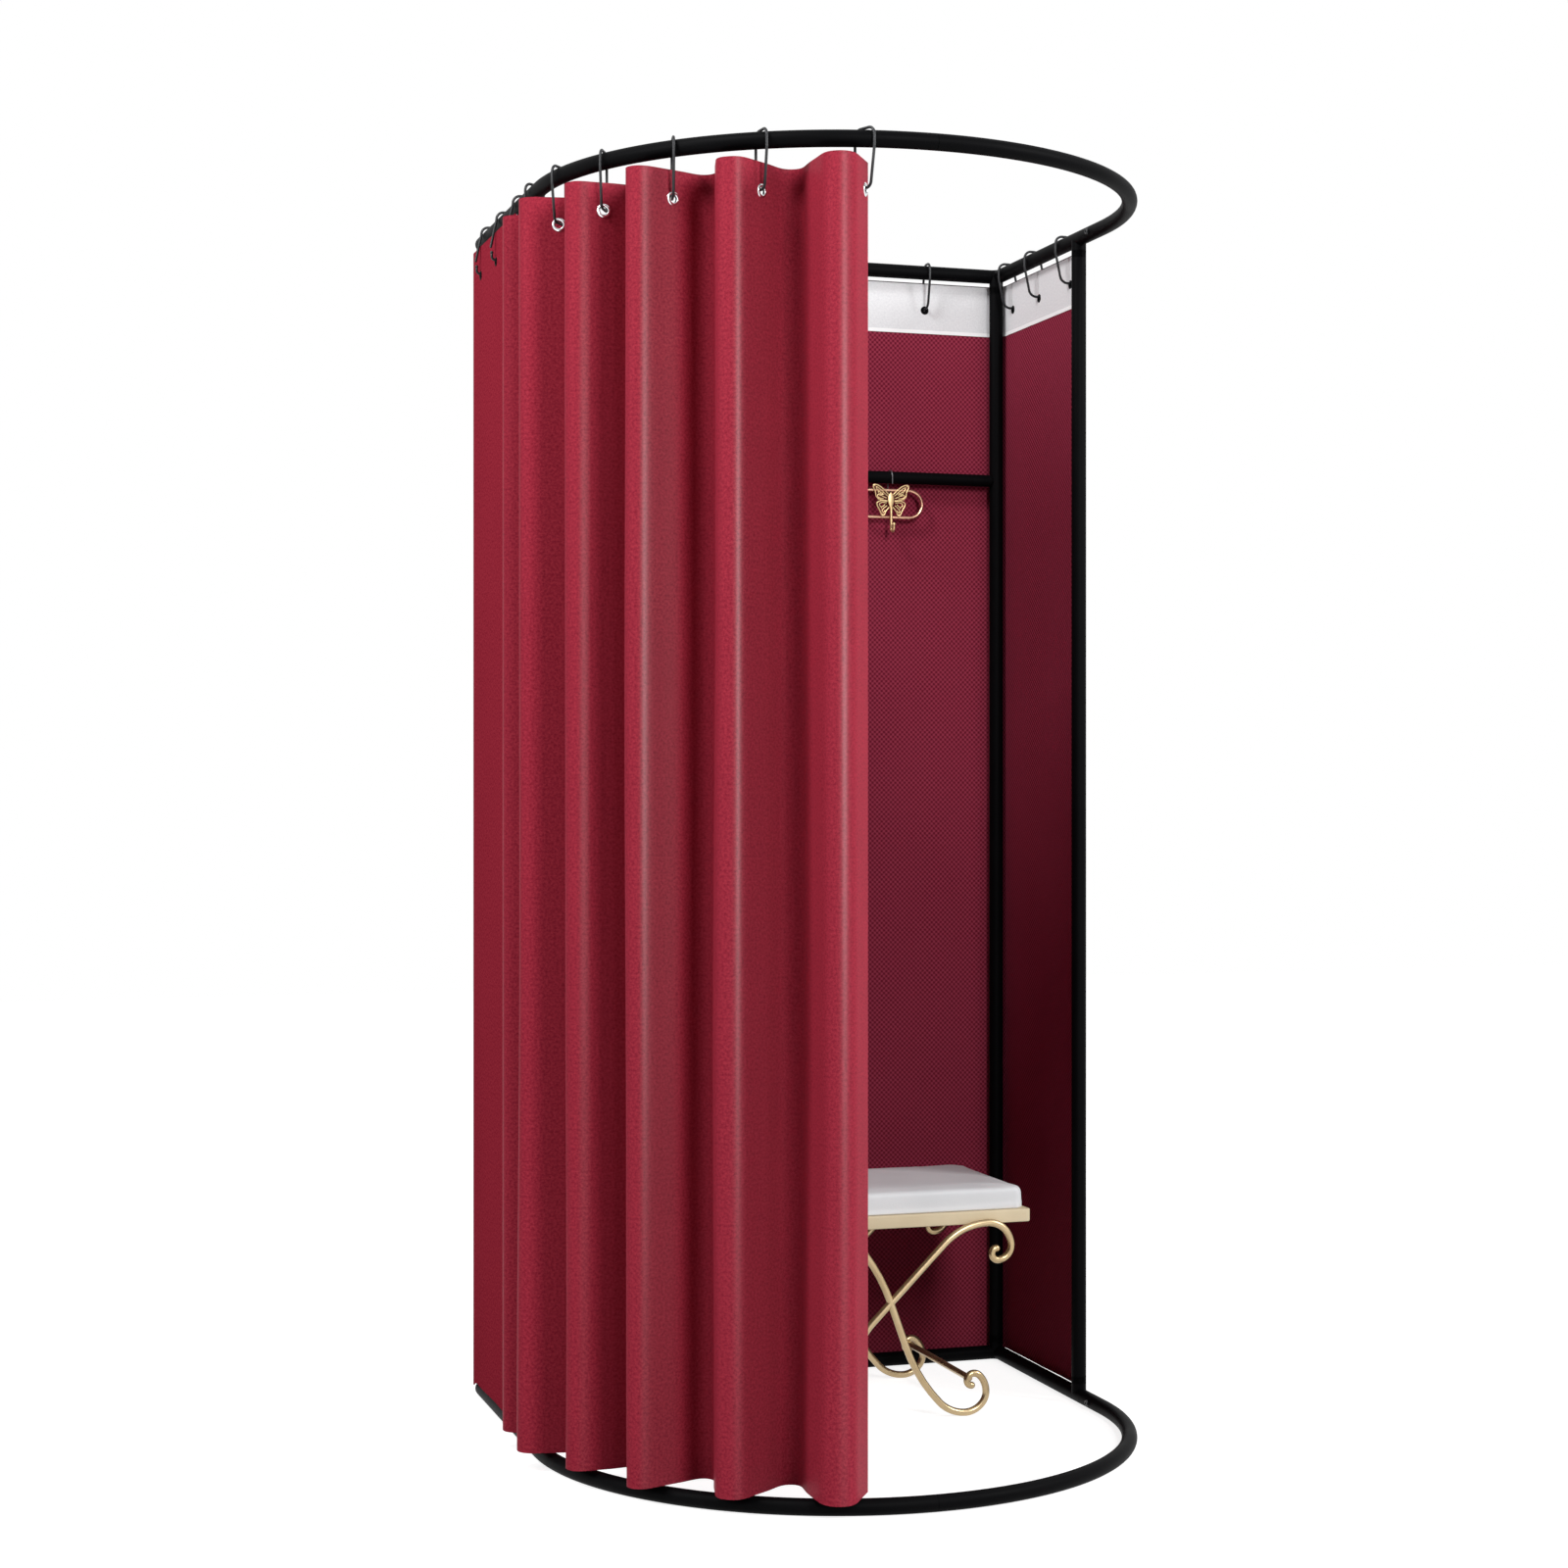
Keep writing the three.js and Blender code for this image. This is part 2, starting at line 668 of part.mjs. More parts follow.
// Each bar is walked both ways from where the two cross. Lengths and bends are shares of the drop
// to the floor and of the rise to the top; a straight length has no turn.
const legHeight = boardTop - boardThickness;
const crossing = new THREE.Vector2(0, legHeight * crossHeightShare);
const legDrop = crossing.y - scrollAcross / 2;
const legRise = legHeight + scrollLap - scrollAcross / 2 - crossing.y;
const upperScrollShares = [[50, 0.3317], [40, 0.311], [90, 0.1871], [90, 0.0895], [90, 0.0663]];
const lowerScrollShares = [
  [50, 0.2081], [40, 0.1487], [45, 0.2034], [45, 0.0809], [90, 0.0615], [90, 0.0426],
];
const risingHeadingDeg = 44.4;
const risingUpShares = [[0, 1.0593], [44.4, 0.9065]];
const risingDownShares = [[0, 0.2333], [-36, 0.5702], [0, 0.269], [80.4, 0.3111]];
const fallingHeadingDeg = -70.1;
const fallingDownShares = [[0, 0.4226], [23.9, 1.4188], [46.2, 0.3363]];
const fallingUpShares = [[17.6, 2.479], [52.5, 0.8553]];

function moves(shares, side, size) {
  return shares.map(([degrees, share]) =>
    degrees ? turn(side * degrees, share * size) : run(share * size),
  );
}

const rising = {
  heading: risingHeadingDeg,
  ahead: moves([...risingUpShares, ...upperScrollShares], -1, legRise),
  behind: moves([...risingDownShares, ...lowerScrollShares], -1, legDrop),
};
const falling = {
  heading: fallingHeadingDeg,
  ahead: moves([...fallingDownShares, ...lowerScrollShares], 1, legDrop),
  behind: moves([...fallingUpShares, ...upperScrollShares], 1, legRise),
};

function bar({ heading, ahead, behind }) {
  const forth = walk(crossing, heading, ahead, scrollStepDeg);
  const back = walk(crossing, heading + halfTurnDeg, behind, scrollStepDeg);
  const stops = [...back.reverse(), ...forth.slice(1)].map(inElevation);
  return solid(swept(section(scrollAcross, scrollSides), stops, rearward));
}

function legFrame() {
  return surface(bar(rising).add(bar(falling)));
}

const curlStops = 16;

function scrollEye(headingDeg, path) {
  const curl = walk(crossing, headingDeg, path, scrollStepDeg).slice(-curlStops);
  const sum = curl.reduce((total, p) => total.add(p), new THREE.Vector2());
  return sum.divideScalar(curl.length);
}

function stretcher(eye) {
  const shape = section(stretcherAcross, scrollSides);
  return levelY(shape, -stoolFront, boardDepth - stoolFront, scrollX + eye.x, eye.y);
}

// Hanger: a wire hook over the garment rail carries a long loop with a butterfly plate before it
function hangerHook() {
  const crown = railHeight + railAcross / 2 + hangerRide + hangerWire / 2 - hangerBend;
  const runLevel = loopTop - loopWire - hangerRest - hangerWire / 2;
  const foot = hangerBend - fitGap;
  const start = new THREE.Vector2(-hangerBend, crown - hangerBend);
  const plan = walk(start, quarterDeg, [
    run(hangerBend),
    turn(-halfTurnDeg, hangerBend),
    run(crown - runLevel - foot),
    turn(-quarterDeg, foot),
    run(hangerToe),
  ], facetStepDeg);
  const stops = plan.map((p) => new THREE.Vector3(0, p.x, p.y));
  return swept(section(hangerWire, wireSides), stops, across);
}

const hangerRest = 0.7; // air under the loop, for its swing

function hangerLoop() {
  const bend = (loopHeight - loopWire) / 2;
  const straight = loopLength - loopHeight;
  const start = new THREE.Vector2(loopSplit / 2, loopTop - loopHeight + loopWire / 2);
  const end = straight / 2 - loopSplit / 2;
  const round = turn(halfTurnDeg, bend);
  const path = [run(end), round, run(straight), round, run(end)];
  const stops = walk(start, 0, path, wireStepDeg).map(inElevation);
  return swept(section(loopWire, scrollSides), stops, rearward);
}

// Half of the butterfly, from head to tail, as shares of its half width and half height
const wingShares = [
  [0, 0.66],
  [0.12, 0.84],
  [0.34, 0.8],
  [0.64, 0.93],
  [0.97, 0.95],
  [1, 0.72],
  [0.88, 0.58],
  [0.8, 0.18],
  [0.74, -0.06],
  [0.78, -0.2],
  [0.71, -0.48],
  [0.53, -0.82],
  [0.46, -0.98],
  [0.32, -0.82],
  [0.2, -0.6],
  [0, -0.62],
];
const wingHoleShares = [
  [0.56, 0.62, 0.22, 0.17],
  [0.36, 0.3, 0.12, 0.12],
  [0.44, -0.36, 0.17, 0.2],
];

function butterfly() {
  const [a, b] = [plateWidth / 2, plateHeight / 2];
  const half = wingShares.map(([x, y]) => new THREE.Vector2(x * a, y * b));
  const mirrored = half.slice(1, -1).reverse().map((p) => new THREE.Vector2(-p.x, p.y));
  const shape = new THREE.Shape([...half, ...mirrored].reverse());
  for (const [x, y, w, h] of wingHoleShares) {
    for (const side of [-1, 1]) {
      const path = new THREE.Path();
      path.absellipse(side * x * a, y * b, w * a, h * b, 0, fullTurn, true);
      shape.holes.push(path);
    }
  }
  const settings = { depth: plateThickness, bevelEnabled: false, curveSegments: 3 };
  const plate = new THREE.ExtrudeGeometry(shape, settings).rotateX(Math.PI / 2);
  const face = -loopWire / 2 - fitGap - plateThickness;
  return surface(solid(plate.translate(0, face + plateThickness, plateMiddle)).add(tailHook(face)));
}

function tailHook(face) {
  const start = new THREE.Vector2(face, plateMiddle - plateHeight / 4);
  const drop = plateHeight / 4 + tailDrop - tailBend - tailWire / 2;
  const path = [run(drop), turn(-halfTurnDeg, tailBend), run(tailRise)];
  const plan = walk(start, -quarterDeg, path, wireStepDeg);
  const stops = plan.map((p) => new THREE.Vector3(0, p.x, p.y));
  return solid(swept(section(tailWire, scrollSides), stops, across));
}

// The frame
place('base_rear_frame', rearFrame(baseLine, 1), blackSteel);
place('top_rear_frame', rearFrame(topLine, -1), blackSteel);
for (const [end, level] of [['base', baseLine], ['top', topLine]]) {
  place(`${end}_front_arc_left`, frontArc(-1, level), blackSteel);
  place(`${end}_front_arc_right`, frontArc(1, level), blackSteel);
  place(`${end}_arc_joiner`, arcJoiner(level), blackSteel);
}
for (const [name, x, y] of postPlaces) {
  place(name, name.startsWith('rear') ? peggedPost(x, y) : plainPost(x, y), blackSteel);
}
place('hanging_rail', hangingRail(), blackSteel);
[[-1, baseLine], [1, baseLine], [-1, topLine], [1, topLine]].forEach(([side, level], i) => {
  const mesh = place(`arc_screw_${i + 1}`, screw(side), darkWire);
  const face = ringRadius - tubeAcross / 2 - fitGap;
  mesh.position.set(side * face, -railEnd - screwPlace, level);
});

// The cloth and its hooks
place('back_panel', backPanel(), burgundyCloth);
place('left_side_panel', sidePanel(-1, leftHem), burgundyCloth);
place('right_side_panel', sidePanel(1, wrapHem), burgundyCloth);
place('header_tape', headerTape(), paleTape);
curtainHookDeg.forEach((degrees, i) => {
  const { middle, along } = grommetSeat(i);
  place(`curtain_panel_${i + 1}`, curtainPanel(i), crimsonCloth);
  const eye = place(`curtain_grommet_${i + 1}`, grommet(), brightMetal);
  eye.position.set(middle.x, middle.y, grommetHeight);
  eye.rotation.z = Math.atan2(along.y, along.x);
  const heading = halfTurnDeg + Math.max(degrees, 0) + curtainHookTwistDeg;
  hang(`curtain_hook_${i + 1}`, 1, curtainHook, middle.x, middle.y, heading);
});
leftHookPlaces.forEach((forward, i) => {
  hang(`left_rail_hook_${i + 1}`, -1, wrapHook, -ringRadius, -forward, halfTurnDeg);
});
rightHookPlaces.forEach((forward, i) => {
  hang(`right_rail_hook_${i + 1}`, -1, wrapHook, ringRadius, -forward, 0);
});
[-backHookPlace, 0, backHookPlace].forEach((x, i) => {
  hang(`back_rail_hook_${i + 1}`, -1, wrapHook, x, 0, quarterDeg);
});

// The stool
const stoolMiddle = -stoolFront + boardDepth / 2;
place('stool_seat_board', seatBoard(), paleGold).position.set(
  stoolX, stoolMiddle, boardTop - boardThickness,
);
place('stool_cushion', cushion(), whiteLeather).position.set(
  stoolX, stoolMiddle, boardTop + fitGap + cushionThickness / 2,
);
place('stool_front_legs', legFrame(), antiqueGold).position.set(scrollX, -scrollCentreFront, 0);
place('stool_rear_legs', legFrame(), antiqueGold).position.set(scrollX, -scrollCentreRear, 0);
const leftEye = scrollEye(rising.heading + halfTurnDeg, rising.behind);
const rightEye = scrollEye(falling.heading, falling.ahead);
place('stool_stretcher_left', stretcher(leftEye), antiqueGold);
place('stool_stretcher_right', stretcher(rightEye), antiqueGold);

// The hanger
place('hanger_hook', hangerHook(), darkWire).position.set(hangerX, -cornerIn, 0);
place('hanger_loop', hangerLoop(), roseGold).position.set(hangerX, -cornerIn, 0);
place('hanger_butterfly', butterfly(), roseGold).position.set(hangerX, -cornerIn, 0);

export default fittingRoom;
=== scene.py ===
"""Portable fitting room: a ring of black steel tube at the floor and at the head, four posts, a cloth
wrap round the back and sides, a folded curtain on wire hooks, a garment rail, a small stool and a
hanger. Sizes are in metres: X runs to the right, Y to the rear and Z up."""

import math

import bpy
import numpy as np
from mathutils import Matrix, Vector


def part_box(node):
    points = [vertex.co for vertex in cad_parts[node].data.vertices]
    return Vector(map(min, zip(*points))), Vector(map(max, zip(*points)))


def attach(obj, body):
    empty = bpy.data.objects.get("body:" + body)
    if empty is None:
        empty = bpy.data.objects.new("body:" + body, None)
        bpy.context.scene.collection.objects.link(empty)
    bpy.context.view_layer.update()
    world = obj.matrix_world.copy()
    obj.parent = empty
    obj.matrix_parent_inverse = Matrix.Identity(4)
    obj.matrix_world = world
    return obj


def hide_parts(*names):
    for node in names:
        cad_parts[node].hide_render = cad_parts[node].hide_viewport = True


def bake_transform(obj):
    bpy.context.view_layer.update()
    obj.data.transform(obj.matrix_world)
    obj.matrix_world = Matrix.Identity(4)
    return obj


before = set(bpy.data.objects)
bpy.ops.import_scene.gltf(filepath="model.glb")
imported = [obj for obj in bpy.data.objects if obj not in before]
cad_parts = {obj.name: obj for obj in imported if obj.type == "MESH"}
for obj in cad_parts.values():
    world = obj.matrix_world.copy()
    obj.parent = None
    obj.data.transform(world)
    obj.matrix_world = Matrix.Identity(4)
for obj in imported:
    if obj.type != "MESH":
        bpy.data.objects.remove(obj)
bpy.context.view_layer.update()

# Camera and studio. The camera stands about 4.8 m in front, a little to the left, at chest height.
# Four soft lamps stand round the front, over a pale floor that glows up to the backdrop's white as
# it goes out. The streak lamp shows only in the curtain's gloss, as a strip reflector does.
camera = bpy.data.objects.new("camera", bpy.data.cameras.new("camera"))
camera.data.lens = 62.03
camera.data.sensor_width = 36
camera.location = (-1.3978, -4.6164, 1.056)
camera.rotation_euler = (math.radians(90), 0, math.radians(-17.63))
bpy.context.scene.collection.objects.link(camera)
bpy.context.scene.camera = camera
bpy.context.scene.view_settings.view_transform = "Standard"


def fill(tree, node, inputs):
    """Links or sets a node's inputs, by name or number."""
    for key, value in inputs.items():
        if isinstance(value, bpy.types.NodeSocket):
            tree.links.new(value, node.inputs[key])
        else:
            node.inputs[key].default_value = value


def put(tree, kind, inputs, **settings):
    """Adds a node, sets its properties and fills its inputs."""
    made = tree.nodes.new(kind)
    for key, value in settings.items():
        setattr(made, key, value)
    fill(tree, made, inputs)
    return made


def reckon(tree, operation, *values):
    """One step of arithmetic on sockets and numbers."""
    return put(tree, "ShaderNodeMath", dict(enumerate(values)), operation=operation).outputs[0]


def noise(tree, where, scale, detail, **more):
    """A cloud of values about one half."""
    inputs = {"Vector": where, "Scale": scale, "Detail": detail, **more}
    return put(tree, "ShaderNodeTexNoise", inputs).outputs[0]


def mixed(tree, share, first, second):
    """A colour between two."""
    return put(tree, "ShaderNodeMix", {"Factor": share, 6: first, 7: second}, data_type="RGBA").outputs[2]


def seen_rays(tree):
    """One on rays from the camera, off gloss or through glass, and nothing on all others."""
    path = put(tree, "ShaderNodeLightPath", {}).outputs
    seen = reckon(tree, "MAXIMUM", path["Is Camera Ray"], path["Is Glossy Ray"])
    return reckon(tree, "MAXIMUM", seen, path["Is Transmission Ray"])


def blank(name):
    """A new material, its node tree and its shader."""
    made = bpy.data.materials.new(name)
    made.use_nodes = True
    return made, made.node_tree, made.node_tree.nodes["Principled BSDF"]


world = bpy.data.worlds.new("studio")
bpy.context.scene.world = world
world.use_nodes = True
sky = world.node_tree
strength = put(sky, "ShaderNodeMapRange", {"Value": seen_rays(sky), "To Min": 0.07, "To Max": 1.0})
fill(sky, sky.nodes["Background"], {"Color": (1, 1, 1, 1), "Strength": strength.outputs[0]})

floor_mesh = bpy.data.meshes.new("floor")
floor_mesh.from_pydata([(-9, -9, 0), (9, -9, 0), (9, 9, 0), (-9, 9, 0)], [], [(0, 1, 2, 3)])
floor = bpy.data.objects.new("floor", floor_mesh)
floor.location.z = -0.0005
bpy.context.scene.collection.objects.link(floor)
floor_paint, tree, shader = blank("floor")
where = put(tree, "ShaderNodeTexCoord", {}).outputs["Object"]
reach = put(tree, "ShaderNodeVectorMath", {0: where}, operation="LENGTH").outputs["Value"]
paler = {"Value": reach, "From Min": 1.0, "From Max": 2.6, "To Min": 0.84, "To Max": 1.0}
glow = put(tree, "ShaderNodeMapRange", paler).outputs[0]
fill(tree, shader, {
    "Base Color": (0.5, 0.5, 0.5, 1),
    "Roughness": 1,
    "Specular IOR Level": 0,
    "Emission Color": (1, 1, 1, 1),
    "Emission Strength": reckon(tree, "MULTIPLY", seen_rays(tree), glow),
})
floor_mesh.materials.append(floor_paint)

ROOM_MIDDLE = (0, -0.5, 1.2)
for name, place, aim, size, power in (
    ("left_lamp", (-4.14, -1.23, 3.0), ROOM_MIDDLE, (0.9, 1.6), 79),
    ("high_lamp", (-2.25, -1.80, 4.2), ROOM_MIDDLE, (0.9, 0.9), 90),
    ("front_lamp", (0.37, -4.68, 3.0), ROOM_MIDDLE, (0.9, 1.6), 114),
    ("right_lamp", (3.44, -2.91, 3.0), ROOM_MIDDLE, (0.9, 1.6), 108),
    ("streak_lamp", (0.66, -3.95, 1.5), (0, -0.7, 1.15), (0.6, 1.6), 2000),
):
    lamp = bpy.data.objects.new(name, bpy.data.lights.new(name, "AREA"))
    lamp.data.shape = "RECTANGLE"
    lamp.data.size, lamp.data.size_y = size
    lamp.data.energy = power
    lamp.location = place
    away = np.array(place) - np.array(aim)
    tilt = math.atan2(math.hypot(away[0], away[1]), away[2])
    lamp.rotation_euler = (tilt, 0, math.atan2(away[0], -away[1]))
    bpy.context.scene.collection.objects.link(lamp)
lamp.visible_diffuse = False
glossy_cloth = bpy.data.collections.new("glossy_cloth")
lamp.light_linking.receiver_collection = glossy_cloth


# Base ring: 25 mm steel tube, powder coated black. The rear half is a bent U with a short collar
# for each post; the front half is two bent quarters that plug into it and meet at the front.
RING_R = 0.481  # of the front arc's centre line
RUN = 0.466  # from the back rail to the middle of the front arc
CORNER = 0.014  # bend at each rear corner
TUBE = 0.0125  # the tube's radius
BASE_Z = 0.0125
TOP_Z = 1.9875
FIT = 0.0003  # air between pieces that touch


def route(start, heading, moves, step=4.0):
    """Points of a flat line of straight runs (length, None) and round bends (degrees, radius), each
    bend a circle's arc that starts along the line's last heading; left-hand bends are positive."""
    at, turn, points = np.array(start, float), math.radians(heading), [np.array([start], float)]
    for amount, radius in moves:
        if radius is None:
            at = at + amount * np.array([math.cos(turn), math.sin(turn)])
            points.append(at[None])
            continue
        side = math.copysign(1, amount)
        centre = at + side * radius * np.array([-math.sin(turn), math.cos(turn)])
        count = max(2, math.ceil(abs(amount) / step))
        angle = turn + np.radians(amount) * np.arange(1, count + 1) / count
        arc = centre + side * radius * np.stack([np.sin(angle), -np.cos(angle)], axis=1)
        points.append(arc)
        at, turn = arc[-1], angle[-1]
    return np.concatenate(points)


def in_space(points, plane, level=0.0):
    """Flat points set in space: plane 'plan' is level at that height, 'front' stands across X at
    that depth, and 'side' stands along Y at that width."""
    a, b = points.T
    flat = np.full_like(a, level)
    return np.stack({"plan": (a, b, flat), "front": (a, flat, b), "side": (flat, a, b)}[plane], axis=1)


def tube(points, normal, radius, around=28):
    """A round section carried along a flat line: centre + r (cos a N + sin a B / cos(half turn)),
    where N is the plane's normal and B lies across the line, in the plane that halves the turn."""
    leg = np.diff(points, axis=0)
    leg /= np.linalg.norm(leg, axis=1, keepdims=True)
    before, after = np.vstack([leg[:1], leg]), np.vstack([leg, leg[-1:]])
    along = before + after
    along /= np.linalg.norm(along, axis=1, keepdims=True)
    stretch = 1 / np.sum(before * along, axis=1, keepdims=True)
    n = np.array(normal, float)
    b = np.cross(along, n) * stretch
    a = np.arange(around) * 2 * np.pi / around
    r = np.broadcast_to(radius, (len(points),))[:, None, None]
    ring = np.cos(a)[None, :, None] * n + np.sin(a)[None, :, None] * b[:, None, :]
    return points[:, None, :] + r * ring


def with_ends(points, radius, start=0.0, end=0.0):
    """Adds a round nose to a line's ends: rings at radius r cos t, set r sin t beyond the end. Where
    start or end gives a ball its own radius, the nose is that ball, three quarters of r further out."""
    radii = np.full(len(points), float(radius))
    for last, ball in ((False, start), (True, end)):
        tip, inner = (points[-1], points[-2]) if last else (points[0], points[1])
        out = (tip - inner) / np.linalg.norm(tip - inner)
        r, lift = (ball, 0.75) if ball else (radius, 0)
        t = np.radians([-44, -22, 0, 25, 50, 70, 84] if ball else [12, 32, 52, 70, 84])
        reach, size = r * (lift + np.sin(t)), r * np.cos(t)
        rings = tip + reach[:, None] * out
        if last:
            points, radii = np.vstack([points, rings]), np.append(radii, size)
        else:
            points = np.vstack([rings[::-1], points])
            radii = np.append(size[::-1], radii)
    return points, radii


def shell(points, closed=True, capped=True, looped=False):
    """A grid of points, rows by columns, as vertices and faces. closed joins the last column to the
    first, looped the last row to the first, and capped fills both end rows with a flat face."""
    rows, cols = points.shape[:2]
    index = np.arange(rows * cols).reshape(rows, cols)
    if closed:
        index = np.hstack([index, index[:, :1]])
    if looped:
        index = np.vstack([index, index[:1]])
    quads = np.stack([index[:-1, :-1], index[:-1, 1:], index[1:, 1:], index[1:, :-1]], axis=-1)
    faces = quads.reshape(-1, 4).tolist()
    if capped and not looped:
        faces += [index[0, :cols][::-1].tolist(), index[-1, :cols].tolist()]
    return points.reshape(-1, 3), faces


def piece(name, shells, finish, body, nodes=(), sharp=40, uv=None):
    """Joins shells into one smooth-shaded object that rides on a body and stands for CAD nodes."""
    verts, faces, first = [], [], 0
    for points, quads in shells:
        verts.append(points)
        faces += [[first + i for i in face] for face in quads]
        first += len(points)
    mesh = bpy.data.meshes.new(name)
    mesh.from_pydata(np.concatenate(verts).tolist(), [], faces)
    mesh.polygons.foreach_set("use_smooth", np.ones(len(mesh.polygons), bool))
    mesh.set_sharp_from_angle(angle=math.radians(sharp))
    if uv is not None:
        corner = np.empty(len(mesh.loops), np.int32)
        mesh.loops.foreach_get("vertex_index", corner)
        mesh.uv_layers.new(name="cloth").data.foreach_set("uv", uv[corner].astype(np.float32).ravel())
    mesh.materials.append(finish)
    made = bpy.data.objects.new(name, mesh)
    bpy.context.scene.collection.objects.link(made)
    if body:
        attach(made, body)
    if nodes:
        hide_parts(*nodes)
    return made


def coated(name, dark, light, rough, grain=900.0, bump=0.06, metallic=0.0, specular=0.5):
    """A coat on metal or wood: fine orange peel in the bump, and colour and gloss that drift slowly."""
    made, tree, shader = blank(name)
    where = put(tree, "ShaderNodeTexCoord", {}).outputs["Object"]
    drift = noise(tree, where, 14.0, 4.0)
    peel = noise(tree, where, grain, 2.0)
    gloss = put(tree, "ShaderNodeMapRange", {"Value": drift, "To Min": rough - 0.06, "To Max": rough + 0.08})
    relief = put(tree, "ShaderNodeBump", {"Height": peel, "Strength": bump, "Distance": 0.001})
    fill(tree, shader, {
        "Base Color": mixed(tree, drift, dark, light),
        "Roughness": gloss.outputs[0],
        "Normal": relief.outputs[0],
        "Metallic": metallic,
        "Specular IOR Level": specular,
    })
    return made


black_coat = coated(
    "black_powder_coat", (0.0015, 0.0015, 0.0018, 1), (0.003, 0.003, 0.0035, 1), 0.5, specular=0.03
)

RAIL_END = 0.395  # how far forward the welded side rails reach
CORNER_IN = CORNER * (1 - math.sqrt(0.5))  # the rear posts stand inside the rails' corners
COLLAR = 0.0325  # from the rail's centre line
SPIGOT = 0.0725
SPIGOT_R = 0.011
SLEEVE_R = 0.0108
POST_X = RING_R - CORNER_IN
POST_PLACES = {
    "rear_left": (-POST_X, -CORNER_IN),
    "rear_right": (POST_X, -CORNER_IN),
    "side_left": (-RING_R, -0.368),
    "side_right": (RING_R, -0.368),
}


def black_steel(name, shells, node):
    """A black piece of the frame that stands for one CAD node."""
    return piece(name, shells, black_coat, "frame", [node], sharp=30)


def straight(start, end, normal, radius):
    """A straight tube between two points."""
    return shell(tube(np.array([start, end], float), normal, radius))


def rear_frame(name, level, up, node):
    """The bent U with its collars and the spigots that the posts and front tubes slide over."""
    side, corner, back = (RAIL_END - CORNER, None), (-90, CORNER), (2 * (RING_R - CORNER), None)
    flat = route((-RING_R, -RAIL_END), 90, [side, corner, back, corner, side], 9)
    shells = [shell(tube(in_space(flat, "plan", level), (0, 0, 1), TUBE))]
    for x, y in POST_PLACES.values():
        for length, radius in ((COLLAR, TUBE), (SPIGOT, SPIGOT_R)):
            low, high = sorted((level, level + up * length))
            shells.append(straight((x, y, low), (x, y, high), (1, 0, 0), radius))
    for x in (-RING_R, RING_R):
        tip, root = (x, -RAIL_END - 0.045, level), (x, -RAIL_END + 0.025, level)
        shells.append(straight(tip, root, (0, 0, 1), SPIGOT_R))
    return black_steel(name, shells, node)


def front_arc(name, side, level, node):
    """A straight lead and a quarter circle, to half a gap from the ring's front."""
    flat = route((-RING_R, -RAIL_END - FIT), -90, [(RUN - RAIL_END - FIT, None), (90, RING_R)], 1.5)
    flat[-1, 0] -= FIT / 2
    flat = flat * np.array([-side, 1])
    if side > 0:
        flat = flat[::-1]
    return black_steel(name, [shell(tube(in_space(flat, "plan", level), (0, 0, 1), TUBE))], node)


def arc_joiner(name, level, node):
    """The sleeve inside the two front tubes where they meet: 15 degrees of the ring."""
    angle = np.radians(np.linspace(-97.5, -82.5, 9))
    flat = np.stack([RING_R * np.cos(angle), -RUN + RING_R * np.sin(angle)], axis=1)
    return black_steel(name, [shell(tube(in_space(flat, "plan", level), (0, 0, 1), SLEEVE_R))], node)


rear_frame("base_rear_tube", BASE_Z, 1, "base_rear_frame")
front_arc("base_left_tube", -1, BASE_Z, "base_front_arc_left")
front_arc("base_right_tube", 1, BASE_Z, "base_front_arc_right")
arc_joiner("base_sleeve", BASE_Z, "base_arc_joiner")

# Posts: four straight lengths of the same tube, pushed over the spigots of the base frame. The rear
# pair carries a peg each, welded on, that the garment rail slides over.
RAIL_Z = 1.612
POST_LOW, POST_HIGH = 0.0328, 1.9672
PEG = 0.0425  # from the post's centre line
PEG_R = 0.0095
for name, (x, y) in POST_PLACES.items():
    shells = [straight((x, y, POST_LOW), (x, y, POST_HIGH), (1, 0, 0), TUBE)]
    if name.startswith("rear"):
        tip = x - math.copysign(1, x) * PEG
        shells.append(straight((x, y, RAIL_Z), (tip, y, RAIL_Z), (0, 0, 1), PEG_R))
    black_steel(f"{name}_post_tube", shells, f"{name}_post")

# Top ring: the same parts as the base ring, turned over.
rear_frame("top_rear_tube", TOP_Z, -1, "top_rear_frame")
front_arc("top_left_tube", -1, TOP_Z, "top_front_arc_left")
front_arc("top_right_tube", 1, TOP_Z, "top_front_arc_right")
arc_joiner("top_sleeve", TOP_Z, "top_arc_joiner")

# Locking screws: small cap screws that enter from inside the room and hold each front tube on its
# spigot. Turned steel with a black finish and a socket in the head.
screw_steel = coated("black_screw", (0.02, 0.02, 0.022, 1), (0.035, 0.035, 0.038, 1), 0.3, metallic=0.7)


def turned(profile, around=32):
    """A profile of (radius, height) pairs turned about Z: (r cos a, r sin a, h)."""
    r, h = np.array(profile, float).T
    a = np.arange(around) * 2 * np.pi / around
    return np.stack(
        [np.outer(r, np.cos(a)), np.outer(r, np.sin(a)), np.repeat(h[:, None], around, axis=1)], axis=-1
    )


def aimed(points, origin, axis, up=(0, 0, 1)):
    """Turns points made about Z so that Z lies along axis, and moves them to origin."""
    z = np.array(axis, float) / np.linalg.norm(axis)
    x = np.cross(up, z)
    x = x / np.linalg.norm(x)
    return points @ np.stack([x, np.cross(z, x), z]) + np.array(origin)


